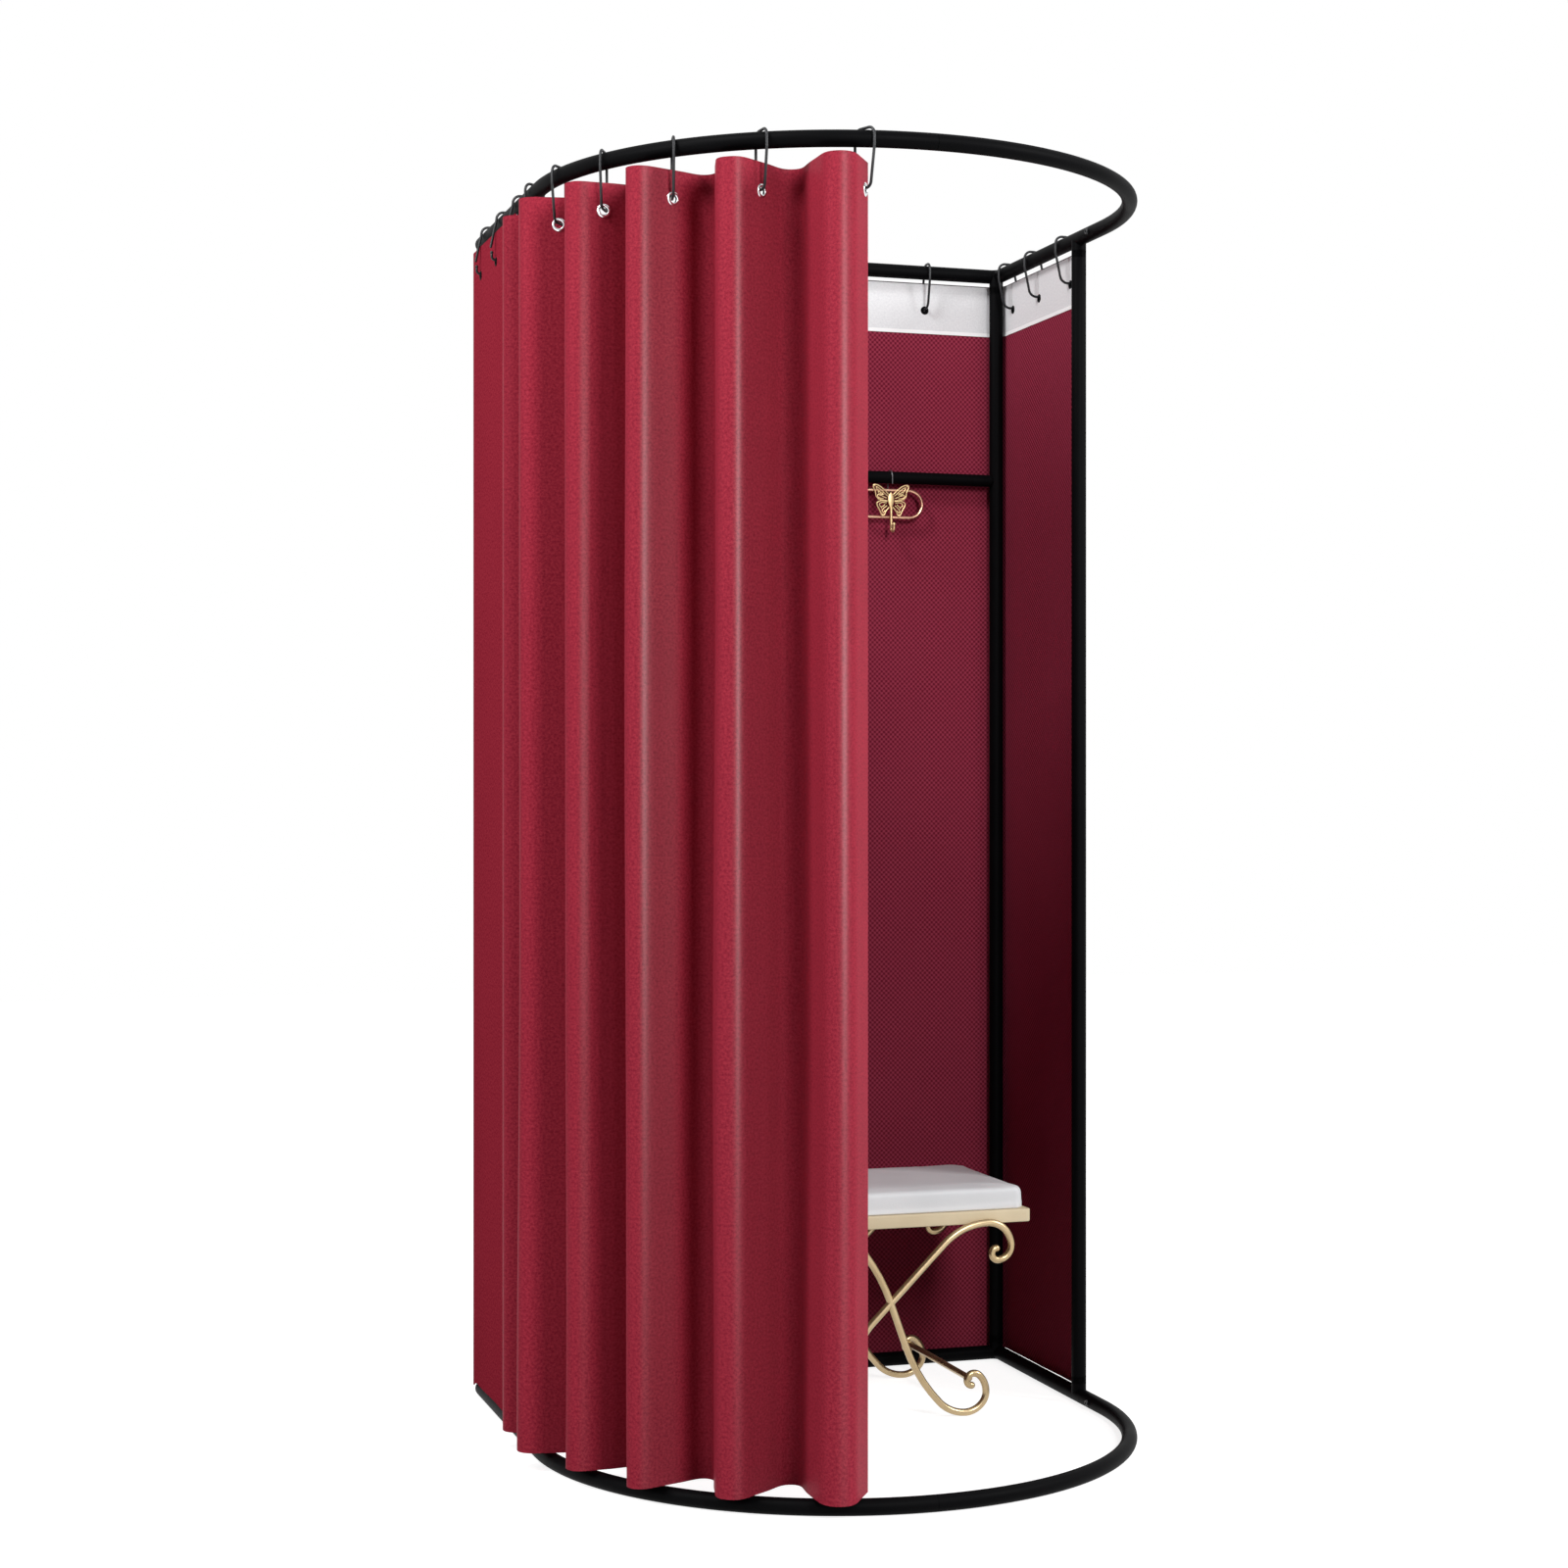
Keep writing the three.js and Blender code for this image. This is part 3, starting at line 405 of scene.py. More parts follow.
screw_profile = [
    (0.0002, -0.010), (0.0028, -0.010), (0.003, -0.0095), (0.003, 0), (0.0046, 0), (0.005, 0.0004),
    (0.005, 0.0024), (0.0044, 0.003), (0.0026, 0.003), (0.0024, 0.0014), (0.0002, 0.0014),
]
for number, (side, level) in enumerate(((-1, BASE_Z), (1, BASE_Z), (-1, TOP_Z), (1, TOP_Z)), 1):
    seat = (side * (RING_R - TUBE - FIT), -0.431, level)
    head = shell(aimed(turned(screw_profile), seat, (-side, 0, 0)))
    piece(f"lock_screw_{number}", [head], screw_steel, "frame", [f"arc_screw_{number}"])

# Garment rail: a thinner tube across the back of the room, pushed over the pegs of the rear posts.
RAIL_R = 0.011
rail_ends = (-POST_X + TUBE, -CORNER_IN, RAIL_Z), (POST_X - TUBE, -CORNER_IN, RAIL_Z)
black_steel("garment_rail", [straight(*rail_ends, (0, 0, 1), RAIL_R)], "hanging_rail")


# Wrap: one sheet of cloth from the left front, round the back, to the right post. Its room side is a
# weave with a small diagonal dot in burgundy, darkened below the crimson as painted shade; its outside
# is crimson felt, and it hangs with hardly a crease.
YARN = 0.0016  # from yarn to yarn
DOT_ROW = 0.0088  # from dot to dot along a row


def woven(name, dark, light, rough, gloss, dot=0.0, speckle=420.0, relief=0.25, bands_and_shadows=()):
    """Cloth: fine yarns and a speckle of fibres in colour and bump, and where dot is set a lattice of
    raised dots, sin u times sin v, which stand in diagonal rows on the cloth's own measure in metres.
    A band is a stretch of its height, low to high, in another colour; a dark one there is painted shadow."""
    made, tree, shader = blank(name)
    where = put(tree, "ShaderNodeUVMap", {}, uv_map="cloth").outputs[0]
    parts = put(tree, "ShaderNodeSeparateXYZ", {0: where}).outputs
    level = noise(tree, where, speckle, 5.0, Roughness=0.7)
    for size, height in ((YARN, 0.12), (DOT_ROW, dot)):
        rate = 2 * math.pi / size
        u, v = (reckon(tree, "SINE", reckon(tree, "MULTIPLY", part, rate)) for part in parts[:2])
        raised = reckon(tree, "MULTIPLY", reckon(tree, "MULTIPLY", u, v), height)
        level = reckon(tree, "ADD", level, raised)
    tone = put(tree, "ShaderNodeMapRange", {"Value": level, "From Min": 0.3, "From Max": 0.7}).outputs[0]
    drift = noise(tree, where, 3.0, 3.0)
    tone = put(tree, "ShaderNodeMix", {"Factor": 0.2, 2: tone, 3: drift}, data_type="FLOAT").outputs[0]
    colour = mixed(tree, tone, dark, light)
    for low, high, shade in bands_and_shadows:
        inside = reckon(tree, "COMPARE", parts[1], (low + high) / 2, (high - low) / 2)
        colour = mixed(tree, inside, colour, shade)
    bump = put(tree, "ShaderNodeBump", {"Height": level, "Strength": relief, "Distance": 0.0012})
    fill(tree, shader, {
        "Base Color": colour,
        "Normal": bump.outputs[0],
        "Roughness": rough,
        "Specular IOR Level": gloss,
    })
    return made


def cloth_piece(
    name, line, rows, finish, body, nodes, thickness,
    away=None, holes=(), lift=None, outside=None,
):
    """A sheet that hangs on a line in plan: row by row the line is repeated at each height,
    away(along, height) moves it across itself and lift(along, height) up. Cloth inside a hole's
    radius is left out, and the sheet then gets its thickness, and outside on its other face where
    that is set. Its own measure is the length along the line, and the height."""
    leg = np.linalg.norm(np.diff(line, axis=0), axis=1)
    along = np.append(0, np.cumsum(leg))
    s, z = np.meshgrid(along, rows)
    slope = np.gradient(line, along, axis=0)
    slope /= np.linalg.norm(slope, axis=1, keepdims=True)
    across = np.stack([slope[:, 1], -slope[:, 0]], axis=1)
    grid = np.dstack([np.broadcast_to(line, (len(rows), *line.shape)), z])
    if away is not None:
        grid[..., :2] += away(s, z)[..., None] * across
    if lift is not None:
        grid[..., 2] += lift(s, z)
    uv = np.stack([s, z], axis=-1).reshape(-1, 2)
    points, faces = shell(grid, closed=False, capped=False)
    if holes:
        middle = points[np.array(faces)].mean(axis=1)
        keep = np.ones(len(faces), bool)
        for centre, radius in holes:
            keep &= np.linalg.norm(middle - np.array(centre), axis=1) > radius
        faces = np.array(faces)[keep].tolist()
    made = piece(name, [(points, faces)], finish, None, nodes, sharp=180, uv=uv)
    wall = made.modifiers.new("cloth", "SOLIDIFY")
    wall.thickness = thickness
    wall.offset = 0
    if outside is not None:
        made.data.materials.append(outside)
        wall.material_offset = 1
    thick = bpy.data.meshes.new_from_object(made.evaluated_get(bpy.context.evaluated_depsgraph_get()))
    made.modifiers.clear()
    made.data = thick
    thick.set_sharp_from_angle(angle=math.radians(50))
    if body:
        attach(made, body)
    return made


# room side of the wrap: a dot weave, its colours set darker than the crimson felt as painted shade
shaded_burgundy = woven("burgundy_weave_painted_shade", (0.115, 0.008, 0.020, 1), (0.345, 0.042, 0.080, 1), 0.9, 0.03, dot=0.45)
crimson_back = woven(
    "crimson_outside", (0.16, 0.006, 0.017, 1), (0.42, 0.036, 0.060, 1), 0.9, 0.0, speckle=240.0, relief=0.12
)
FRONT = 0.3568  # from the back rail to the wrap's front edges
SIDE = FRONT - CORNER
BACK = 2 * (RING_R - CORNER)
LEFT_HOOKS_AT = (0.337, 0.206, 0.078)
BACK_HOOKS_AT = (-0.343, 0.0, 0.343)
RIGHT_HOOKS_AT = (0.044, 0.165, 0.303)


def round_back(off):
    """The line round the two rear corners at off outside the ring, its lengths from the start, the
    length of a corner, and where the hooks are along it."""
    bend = (CORNER + off, math.pi / 2 * (CORNER + off))
    corner = (-90, bend[0])
    line = route((-RING_R - off, -FRONT), 90, [(SIDE, None), corner, (BACK, None), corner, (SIDE, None)], 10)
    lengths = np.append(0, np.cumsum(np.linalg.norm(np.diff(line, axis=0), axis=1)))
    back, right = SIDE + bend[1], SIDE + 2 * bend[1] + BACK
    marks = (
        [FRONT - c for c in LEFT_HOOKS_AT]
        + [back + BACK / 2 + x for x in BACK_HOOKS_AT]
        + [right + c - CORNER for c in RIGHT_HOOKS_AT]
    )
    return line, lengths, bend[1], marks


def fine_steps(low, high, centres, coarse=0.03, fine=0.0025, reach=0.012):
    """Steps from low to high, coarse but for a fine stretch round each centre."""
    marks = np.arange(low, high, coarse)
    for c in centres:
        marks = marks[np.abs(marks - c) > reach + coarse * 0.3]
        marks = np.append(marks, np.arange(c - reach, c + reach + fine / 2, fine))
    marks = np.append(marks, high)
    return np.unique(np.round(marks[(marks >= low) & (marks <= high)], 6))


def laid_out(off):
    """The same line with its points spaced for the holes and the corners."""
    line, lengths, bend, marks = round_back(off)
    at = fine_steps(0, lengths[-1], marks, coarse=0.022)
    corners = np.linspace(SIDE, SIDE + bend, 9)
    at = np.unique(np.round(np.concatenate([at, corners, corners + BACK + bend]), 6))
    return np.stack([np.interp(at, lengths, line[:, k]) for k in (0, 1)], axis=1)


HOLE_Z = 1.9215
HOLE_R = 0.0062
HEAD_Z = 1.971  # top edge of wrap and tape
CLOTH_OFF = 0.0149  # the wrap's middle, outside the ring's centre line
eyelets = (
    [((-RING_R, -c, HOLE_Z), (-1, 0, 0)) for c in LEFT_HOOKS_AT]
    + [((x, 0.0, HOLE_Z), (0, 1, 0)) for x in BACK_HOOKS_AT]
    + [((RING_R, -c, HOLE_Z), (1, 0, 0)) for c in RIGHT_HOOKS_AT]
)


def out_by(off):
    """The eyelets' middles on a sheet that lies off outside the ring."""
    return [tuple(np.array(place) + off * np.array(way)) for place, way in eyelets]


wrap_rows = fine_steps(0.020, HEAD_Z, [HOLE_Z], coarse=0.035)
corner_length = round_back(CLOTH_OFF)[2]


def hang_waves(s, z):
    """Faint long waves, 0.6 sin 37s + 0.5 sin (19s - 3z) millimetres at the hem and none at the head
    and at the corners."""
    drop = np.clip((1.86 - z) / 1.8, 0, 1)
    flat = np.ones_like(s)
    for corner_s in (SIDE + corner_length / 2, SIDE + 1.5 * corner_length + BACK):
        flat *= np.clip(np.abs(s - corner_s) / 0.05 - 0.4, 0, 1)
    return flat * drop * (0.0006 * np.sin(s * 37 + 1.3) + 0.0005 * np.sin(s * 19 - z * 3))


def left_hem(s, z):
    """On the left side the hem is taken up by 9 mm."""
    return 0.009 * np.clip((SIDE - s) / 0.02, 0, 1) * np.clip((0.3 - z) / 0.28, 0, 1)


cloth_piece(
    "wrap", laid_out(CLOTH_OFF), wrap_rows, shaded_burgundy, "frame",
    ["back_panel", "left_side_panel", "right_side_panel"], 0.0016,
    hang_waves,
    [(centre, HOLE_R) for centre in out_by(CLOTH_OFF)], left_hem, crimson_back,
)

# Header tape: a band of pale woven tape sewn inside the top edge of the wrap, all the way round, with
# a whiter strip along its lower edge and a painted shadow of the tube along its top edge. It stiffens
# the edge that the hooks pull on.
pale_tape = woven(
    "pale_tape", (0.68, 0.68, 0.70, 1), (0.84, 0.84, 0.85, 1), 0.8, 0.08, speckle=260.0, relief=0.1,
    # the upper band is a painted shadow of the tube on the tape's top edge; the lower one is a whiter strip
    bands_and_shadows=((1.8785, 1.8855, (0.97, 0.97, 0.97, 1)), (1.9695, 1.9715, (0.05, 0.03, 0.035, 1))),
)
TAPE_OFF = 0.0132
cloth_piece(
    "header_band", laid_out(TAPE_OFF), fine_steps(1.879, HEAD_Z, [HOLE_Z], coarse=0.012), pale_tape,
    "frame", ["header_tape"], 0.0008, None,
    [(centre, HOLE_R) for centre in out_by(TAPE_OFF)],
)

# Wrap eyelets: black enamelled rings pressed through tape and wrap, one at each hook, with a rubber
# skin across the bore that closes round the hook's wire.
eyelet_profile = [
    (0.0004, -0.0003), (0.0042, -0.0003), (0.0042, -0.0016), (0.0052, -0.0024), (0.0066, -0.0024),
    (0.0076, -0.0016), (0.0076, -0.0011), (0.0056, -0.0011), (0.0056, 0.0017), (0.0076, 0.0017),
    (0.0076, 0.0022), (0.0066, 0.0028), (0.0052, 0.0028), (0.0042, 0.0021), (0.0042, 0.0003),
    (0.0004, 0.0003),
]
for number, (place, out) in enumerate(eyelets, 1):
    seat = np.array(place) + 0.0142 * np.array(out)
    ring = aimed(turned(eyelet_profile), seat, out)
    piece(f"wrap_eyelet_{number}", [shell(ring[::-1], looped=True)], black_coat, "frame")

# Hooks: 4.3 mm spring wire, dipped dark grey, bent closely over the tube with a short tail on one side
# and a long leg on the other. The leg leans in, turns level, goes through the eyelet and turns up.
hook_wire = coated(
    "grey_hook_wire", (0.006, 0.006, 0.007, 1), (0.018, 0.019, 0.022, 1), 0.4, grain=500.0,
    metallic=0.15, specular=0.35,
)
WIRE = 0.00215  # the wire's radius
HOOK_SIDE = 0.016  # straight down from the bend over the tube
TWIST = 36  # of the curtain's hooks on the ring
CURTAIN_HOOK = dict(
    bulge=0.00103, twist=TWIST, lean=8, tail_lean=0, tail=0.029, foot=0.009, past=0.014, wire_z=1.91625
)
WRAP_HOOK = dict(bulge=0, twist=0, lean=12, tail_lean=12, tail=0.042, foot=0.014, past=0.017, wire_z=1.92285)


def hook(name, x, y, heading, long_side, body, node, bulge, twist, lean, tail_lean, tail, foot, past, wire_z):
    """A flat wire line set upright at (x, y) and turned to its heading about Z. Its half width is
    half a tube over the twist's cosine, and its sides run straight down before they lean in. The
    tail is the short side; the foot's bend turns the long side level, past the ring's middle."""
    reach = FIT + WIRE
    crown = TUBE + reach
    half = (TUBE + bulge) / math.cos(math.radians(twist)) + WIRE * math.tan(math.radians(twist)) + reach
    shoulder, easy = 0.012, 0.010
    spring = crown - shoulder
    a, b = math.radians(lean), math.radians(tail_lean)
    cut, tail_cut = easy * math.tan(a / 2), easy * math.tan(b / 2)
    slant = (spring - HOOK_SIDE - foot * (1 - math.sin(a)) - (wire_z - TOP_Z)) / math.cos(a)
    middle = half - slant * math.sin(a) - foot * math.cos(a)
    tail_run = (spring + tail) / math.cos(b)
    moves = [(tail_run - tail_cut, None)]
    if tail_lean:
        moves.append((tail_lean, easy))
    moves += [
        (-90, shoulder), (2 * (half - shoulder), None), (-90, shoulder), (HOOK_SIDE - cut, None),
        (-lean, easy), (slant - cut, None), (lean - 90, foot), (middle + past, None), (-90, 0.006),
        (0.004, None),
    ]
    start = (-half - tail_run * math.sin(b), spring - tail_run * math.cos(b))
    flat = route(start, 90 - tail_lean, moves, 9)
    flat[:, 0] *= long_side
    points = in_space(flat, "front")
    if long_side < 0:
        points, radii = with_ends(points[::-1], WIRE, start=0.0028)
    else:
        points, radii = with_ends(points, WIRE, end=0.0028)
    t = math.radians(heading)
    spin = np.array([[math.cos(t), math.sin(t), 0], [-math.sin(t), math.cos(t), 0], [0, 0, 1]])
    grid = tube(points, (0, 1, 0), radii, around=14) @ spin + np.array([x, y, TOP_Z])
    return piece(name, [shell(grid)], hook_wire, body, [node], sharp=60)


wrap_hooks = (
    [(f"left_rail_hook_{i}", -RING_R, -c, 180) for i, c in enumerate(sorted(LEFT_HOOKS_AT), 1)]
    + [(f"back_rail_hook_{i}", x, 0, 90) for i, x in enumerate(BACK_HOOKS_AT, 1)]
    + [(f"right_rail_hook_{i}", RING_R, -c, 0) for i, c in enumerate(RIGHT_HOOKS_AT, 1)]
)
for number, (node, x, y, heading) in enumerate(wrap_hooks, 1):
    hook(f"wrap_hook_{number}", x, y, heading, -1, "frame", node, **WRAP_HOOK)

# Curtain: crimson cloth gathered on six hooks into deep round folds, each a wave about the ring:
# ring + depth cos(phase), with a hook a quarter turn past every crest. It is made in the stretches
# between hooks.
crimson = woven(
    "crimson_felt", (0.15, 0.006, 0.017, 1), (0.40, 0.035, 0.060, 1), 0.46, 0.02, speckle=240.0, relief=0.12
)
HOOK_DEG = np.array([-4.6, 11.4, 26.5, 42.7, 59.4, 77.3])  # hooks' places round the front arc
DEPTH = 0.0614 * np.array([0.684, 0.81, 0.665, 0.886, 0.772, 1])  # of the folds
EYE_Z = 1.914
EYE_HOLE_R = 0.0078
CURTAIN_TOP = 1.956
LEADING = 0.016  # cloth past the last hook


def between(values, at):
    """Straight lines through a row of values, carried on past both ends."""
    low = np.clip(np.floor(at), 0, len(values) - 2).astype(int)
    return values[low] + (values[low + 1] - values[low]) * (at - low)


def wave(phase):
    """The fold line: along = hooks' arc lengths by phase + sin 2p (1 + cos 2p) / 8, which rounds the
    crests and leaves the eyes' slope; off = depth cos(phase) from the ring, and in the first fold,
    which springs from the side panel, still + (depth - still) cos(phase)."""
    rounder = phase + np.sin(2 * phase) * (1 + np.cos(2 * phase)) / 8
    along = between(RING_R * np.radians(HOOK_DEG), (rounder - np.pi / 2) / (2 * np.pi))
    depth = between(DEPTH, np.clip(phase / (2 * np.pi), 0, 5))
    still = np.where(phase < 0, CLOTH_OFF, 0.0)
    off = still + (depth - still) * np.cos(phase)
    angle = np.maximum(along, 0) / RING_R
    reach = RING_R + off
    return np.stack([-reach * np.cos(angle), -RUN - np.minimum(along, 0) - reach * np.sin(angle)], axis=-1)


def eye_seat(i):
    """Where the wave crosses the ring at a hook, and the cloth's direction there."""
    phase = 2 * np.pi * i + np.pi / 2
    middle = wave(np.array([phase]))[0]
    ahead = (wave(np.array([phase + 0.01])) - wave(np.array([phase - 0.01])))[0]
    return middle, ahead / np.linalg.norm(ahead)


def stretch_line(first, last):
    """The wave from one hook to the next, laid flat for 11 mm each side of an eye and eased from
    there into the curve within another 14 mm, in even steps that are finer near the eyes."""
    low = -np.pi / 2 if first is None else 2 * np.pi * first + np.pi / 2
    high = 2 * np.pi * last + np.pi / 2
    phase = np.linspace(low, high, 800)
    line = wave(phase)
    for i in (first, last):
        if i is None:
            continue
        middle, along = eye_seat(i)
        d = (line - middle) @ along
        far = np.linalg.norm(line - middle, axis=1)
        keep = np.clip((far - 0.011) / 0.014, 0, 1)
        keep = (keep * keep * (3 - 2 * keep))[:, None]
        line = line * keep + (middle + d[:, None] * along) * (1 - keep)
    s = np.append(0, np.cumsum(np.linalg.norm(np.diff(line, axis=0), axis=1)))
    centres = ([] if first is None else [0.0]) + [s[-1]]
    marks = fine_steps(0, s[-1], centres, coarse=0.0048, fine=0.002, reach=0.012)
    return np.stack([np.interp(marks, s, line[:, k]) for k in (0, 1)], axis=1)


curtain_rows = fine_steps(0.030, CURTAIN_TOP, [EYE_Z], coarse=0.035, fine=0.002, reach=0.012)


def fold_drift(length, seed):
    """Cloth that hangs from its eyes swings a little more the lower it is: the wave is moved across
    itself by a slow sine that is nothing at both eyes and at the head."""

    def away(s, z):
        drop = np.clip((1.90 - z) / 1.9, 0, 1)
        window = np.sin(np.pi * np.clip(s / length, 0, 1)) ** 2
        return window * drop * (0.004 * np.sin(z * 2.1 + seed) + 0.0015 * np.sin(z * 5.3 + 2 * seed + s * 20))

    return away


for i in range(7):
    first, last = (i - 1 if i else None), i
    if i < 6:
        line = stretch_line(first, last)
    else:
        middle, along = eye_seat(5)
        marks = fine_steps(0, LEADING, [0.0], coarse=0.002, fine=0.002, reach=0.012)
        line = middle + marks[:, None] * along
    holes = [((*eye_seat(k)[0], EYE_Z), EYE_HOLE_R) for k in (first, last) if k is not None and k < 6]
    length = np.linalg.norm(np.diff(line, axis=0), axis=1).sum()
    body = "frame" if i == 0 else f"curtain_{i}" if i == 6 else None
    made = cloth_piece(
        f"curtain_fold_{i + 1}", line, curtain_rows, crimson, body,
        [f"curtain_panel_{min(i, 5) + 1}"], 0.0016,
        fold_drift(length, 1.7 * i) if 0 < i < 6 else None, holes,
    )
    glossy_cloth.objects.link(made)
    if 0 < i < 6:
        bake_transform(made)

# Curtain eyes: bright plated rings in two halves, rolled together through the cloth.
plated = coated(
    "bright_plate", (0.72, 0.73, 0.75, 1), (0.88, 0.89, 0.9, 1), 0.2, grain=300.0, bump=0.03, metallic=1.0
)
eye_profile = [
    (0.0058, -0.0016), (0.0063, -0.0023), (0.0075, -0.0027), (0.0092, -0.0025), (0.0102, -0.0019),
    (0.0105, -0.0014), (0.0103, -0.0011), (0.0067, -0.0011), (0.0067, 0.0011), (0.0103, 0.0011),
    (0.0105, 0.0014), (0.0102, 0.0019), (0.0092, 0.0025), (0.0075, 0.0027), (0.0063, 0.0023),
    (0.0058, 0.0016),
]
for i in range(6):
    middle, along = eye_seat(i)
    out = (along[1], -along[0], 0)
    body = "frame" if i == 0 else f"curtain_{i + 1}"
    ring = aimed(turned(eye_profile, 48), (*middle, EYE_Z), out)
    piece(
        f"curtain_eye_{i + 1}", [shell(ring[::-1], looped=True)], plated, body,
        [f"curtain_grommet_{i + 1}"], sharp=50,
    )
    hook(
        f"curtain_hook_wire_{i + 1}", middle[0], middle[1], 180 + max(HOOK_DEG[i], 0) + TWIST, 1, body,
        f"curtain_hook_{i + 1}", **CURTAIN_HOOK,
    )

# Stool legs: two frames of 12 mm bar, one before and one behind the board. In each, two bars cross
# and are welded, and every end is rolled into a scroll. Painted champagne gold.
SCROLL_X = 0.1265
SCROLL_R = 0.006
UNDERSIDE = 0.3175  # of the board
CROSSING = (0.0, UNDERSIDE * 0.6173)
DROP = CROSSING[1] - SCROLL_R  # from the crossing to the lowest line of the bars, and up to the highest
RISE = UNDERSIDE + 0.0094 - SCROLL_R - CROSSING[1]
champagne = coated(
    "champagne_gold", (0.30, 0.205, 0.095, 1), (0.66, 0.52, 0.32, 1), 0.28, grain=260.0, bump=0.1,
    metallic=0.85,
)
UPPER = [(50, 0.3317), (40, 0.311), (90, 0.1871), (90, 0.0895), (90, 0.0663)]
LOWER = [(50, 0.2081), (40, 0.1487), (45, 0.2034), (45, 0.0809), (90, 0.0615), (90, 0.0426)]


def sized(shares, side, size):
    """Bends, and straight lengths where there is no turn, as shares of a size."""
    return [(side * d, share * size) if d else (share * size, None) for d, share in shares]


rising_up = sized([(0, 1.0593), (44.4, 0.9065), *UPPER], -1, RISE)
rising_down = sized([(0, 0.2333), (-36, 0.5702), (0, 0.269), (80.4, 0.3111), *LOWER], -1, DROP)
falling_down = sized([(0, 0.4226), (23.9, 1.4188), (46.2, 0.3363), *LOWER], 1, DROP)
falling_up = sized([(17.6, 2.479), (52.5, 0.8553), *UPPER], 1, RISE)


def scroll_bar(heading, ahead, behind, depth):
    """A round bar along a line walked both ways from the crossing, with rounded ends."""
    forth = route(CROSSING, heading, ahead, 5)
    back = route(CROSSING, heading + 180, behind, 5)
    flat = np.concatenate([back[::-1], forth[1:]]) + np.array([SCROLL_X, 0])
    points, radii = with_ends(in_space(flat, "front", depth), SCROLL_R)
    return shell(tube(points, (0, 1, 0), radii, around=20))


for name, depth in (("front", -0.4043), ("rear", -0.1017)):
    bars = [
        scroll_bar(44.4, rising_up, rising_down, depth),
        scroll_bar(-70.1, falling_down, falling_up, depth),
    ]
    piece(f"{name}_scrolls", bars, champagne, "stool", [f"stool_{name}_legs"], sharp=70)

# Stretchers: two round bars that tie the front and rear legs together at their lower scrolls.
for name in ("left", "right"):
    low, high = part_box(f"stool_stretcher_{name}")
    x, z = (low[0] + high[0]) / 2, (low[2] + high[2]) / 2
    bar = straight((x, low[1], z), (x, high[1], z), (1, 0, 0), 0.0055)
    piece(f"stretcher_{name}", [bar], champagne, "stool", [f"stool_stretcher_{name}"])

# Seat board: a 21.5 mm board painted pale gold, its corners and edges eased by hand. It lies between
# the two leg frames, whose upper scrolls stand a little higher than its underside.
board_paint = coated(
    "pale_gold_paint", (0.62, 0.50, 0.32, 1), (0.80, 0.68, 0.47, 1), 0.45, grain=180.0, bump=0.12
)
STOOL_X, STOOL_Y = 0.137, -0.253


def corner_arcs(a, b, corner, count):
    """The four quarter circles of a rounded rectangle with half sizes a and b, in order round it, and
    their outward directions: (cos t, sin t) by each corner's signs."""
    t = np.radians(np.linspace(0, 90, count))
    quarter = np.stack([np.cos(t), np.sin(t)], axis=1)
    arcs, ways = [], []
    for sx, sy, order in ((1, 1, 1), (-1, 1, -1), (-1, -1, 1), (1, -1, -1)):
        ways.append(quarter[::order] * [sx, sy])
        arcs.append(ways[-1] * corner + np.array([sx * (a - corner), sy * (b - corner)]))
    return arcs, ways


def eased_board(z, a, b, c, corner, ease, rows=6):
    """A board about level z with half sizes a, b and c: its plan is a rounded rectangle, and its
    edges are quarter circles of radius ease, with inset ease (1 - sin e) at height ease (1 - cos e)."""
    plan, normals = (np.concatenate(arcs) for arcs in corner_arcs(a, b, corner, 7))
    e = np.radians(np.linspace(0, 90, rows))
    inset = np.concatenate([ease * (1 - np.sin(e)), ease * (1 - np.cos(e))])
    height = np.concatenate([-c + ease * (1 - np.cos(e)), c - ease * (1 - np.sin(e))])
    grid = plan[None] - inset[:, None, None] * normals[None]
    return np.dstack([grid + np.array([STOOL_X, STOOL_Y]), np.repeat(height[:, None] + z, len(plan), axis=1)])


board = eased_board(0.32875, 0.2435, 0.145, 0.01075, corner=0.008, ease=0.002)
piece("seat_board", [shell(board)], board_paint, "stool", ["stool_seat_board"], sharp=50)

# Cushion: foam under pale grey leather, pulled over the edges and tacked round the board. The top is
# crowned, the sides draw in between the corners and the foam swells a little under its skin.
leather, tree, shader = blank("pale_grey_leather")
where = put(tree, "ShaderNodeTexCoord", {}).outputs["Object"]
pores = put(tree, "ShaderNodeTexVoronoi", {"Vector": where, "Scale": 420.0, "Randomness": 0.9})
drift = noise(tree, where, 9.0, 5.0)
creases = noise(tree, where, 60.0, 6.0, Distortion=1.5)
height = reckon(tree, "ADD", pores.outputs["Distance"], creases)
bump = put(tree, "ShaderNodeBump", {"Height": height, "Strength": 0.12, "Distance": 0.0008})
gloss = put(tree, "ShaderNodeMapRange", {"Value": drift, "To Min": 0.42, "To Max": 0.6})
fill(tree, shader, {
    "Base Color": mixed(tree, drift, (0.66, 0.67, 0.69, 1), (0.80, 0.805, 0.82, 1)),
    "Roughness": gloss.outputs[0],
    "Normal": bump.outputs[0],
    "Sheen Weight": 0.05,
})
CUSHION_LOW = 0.3398


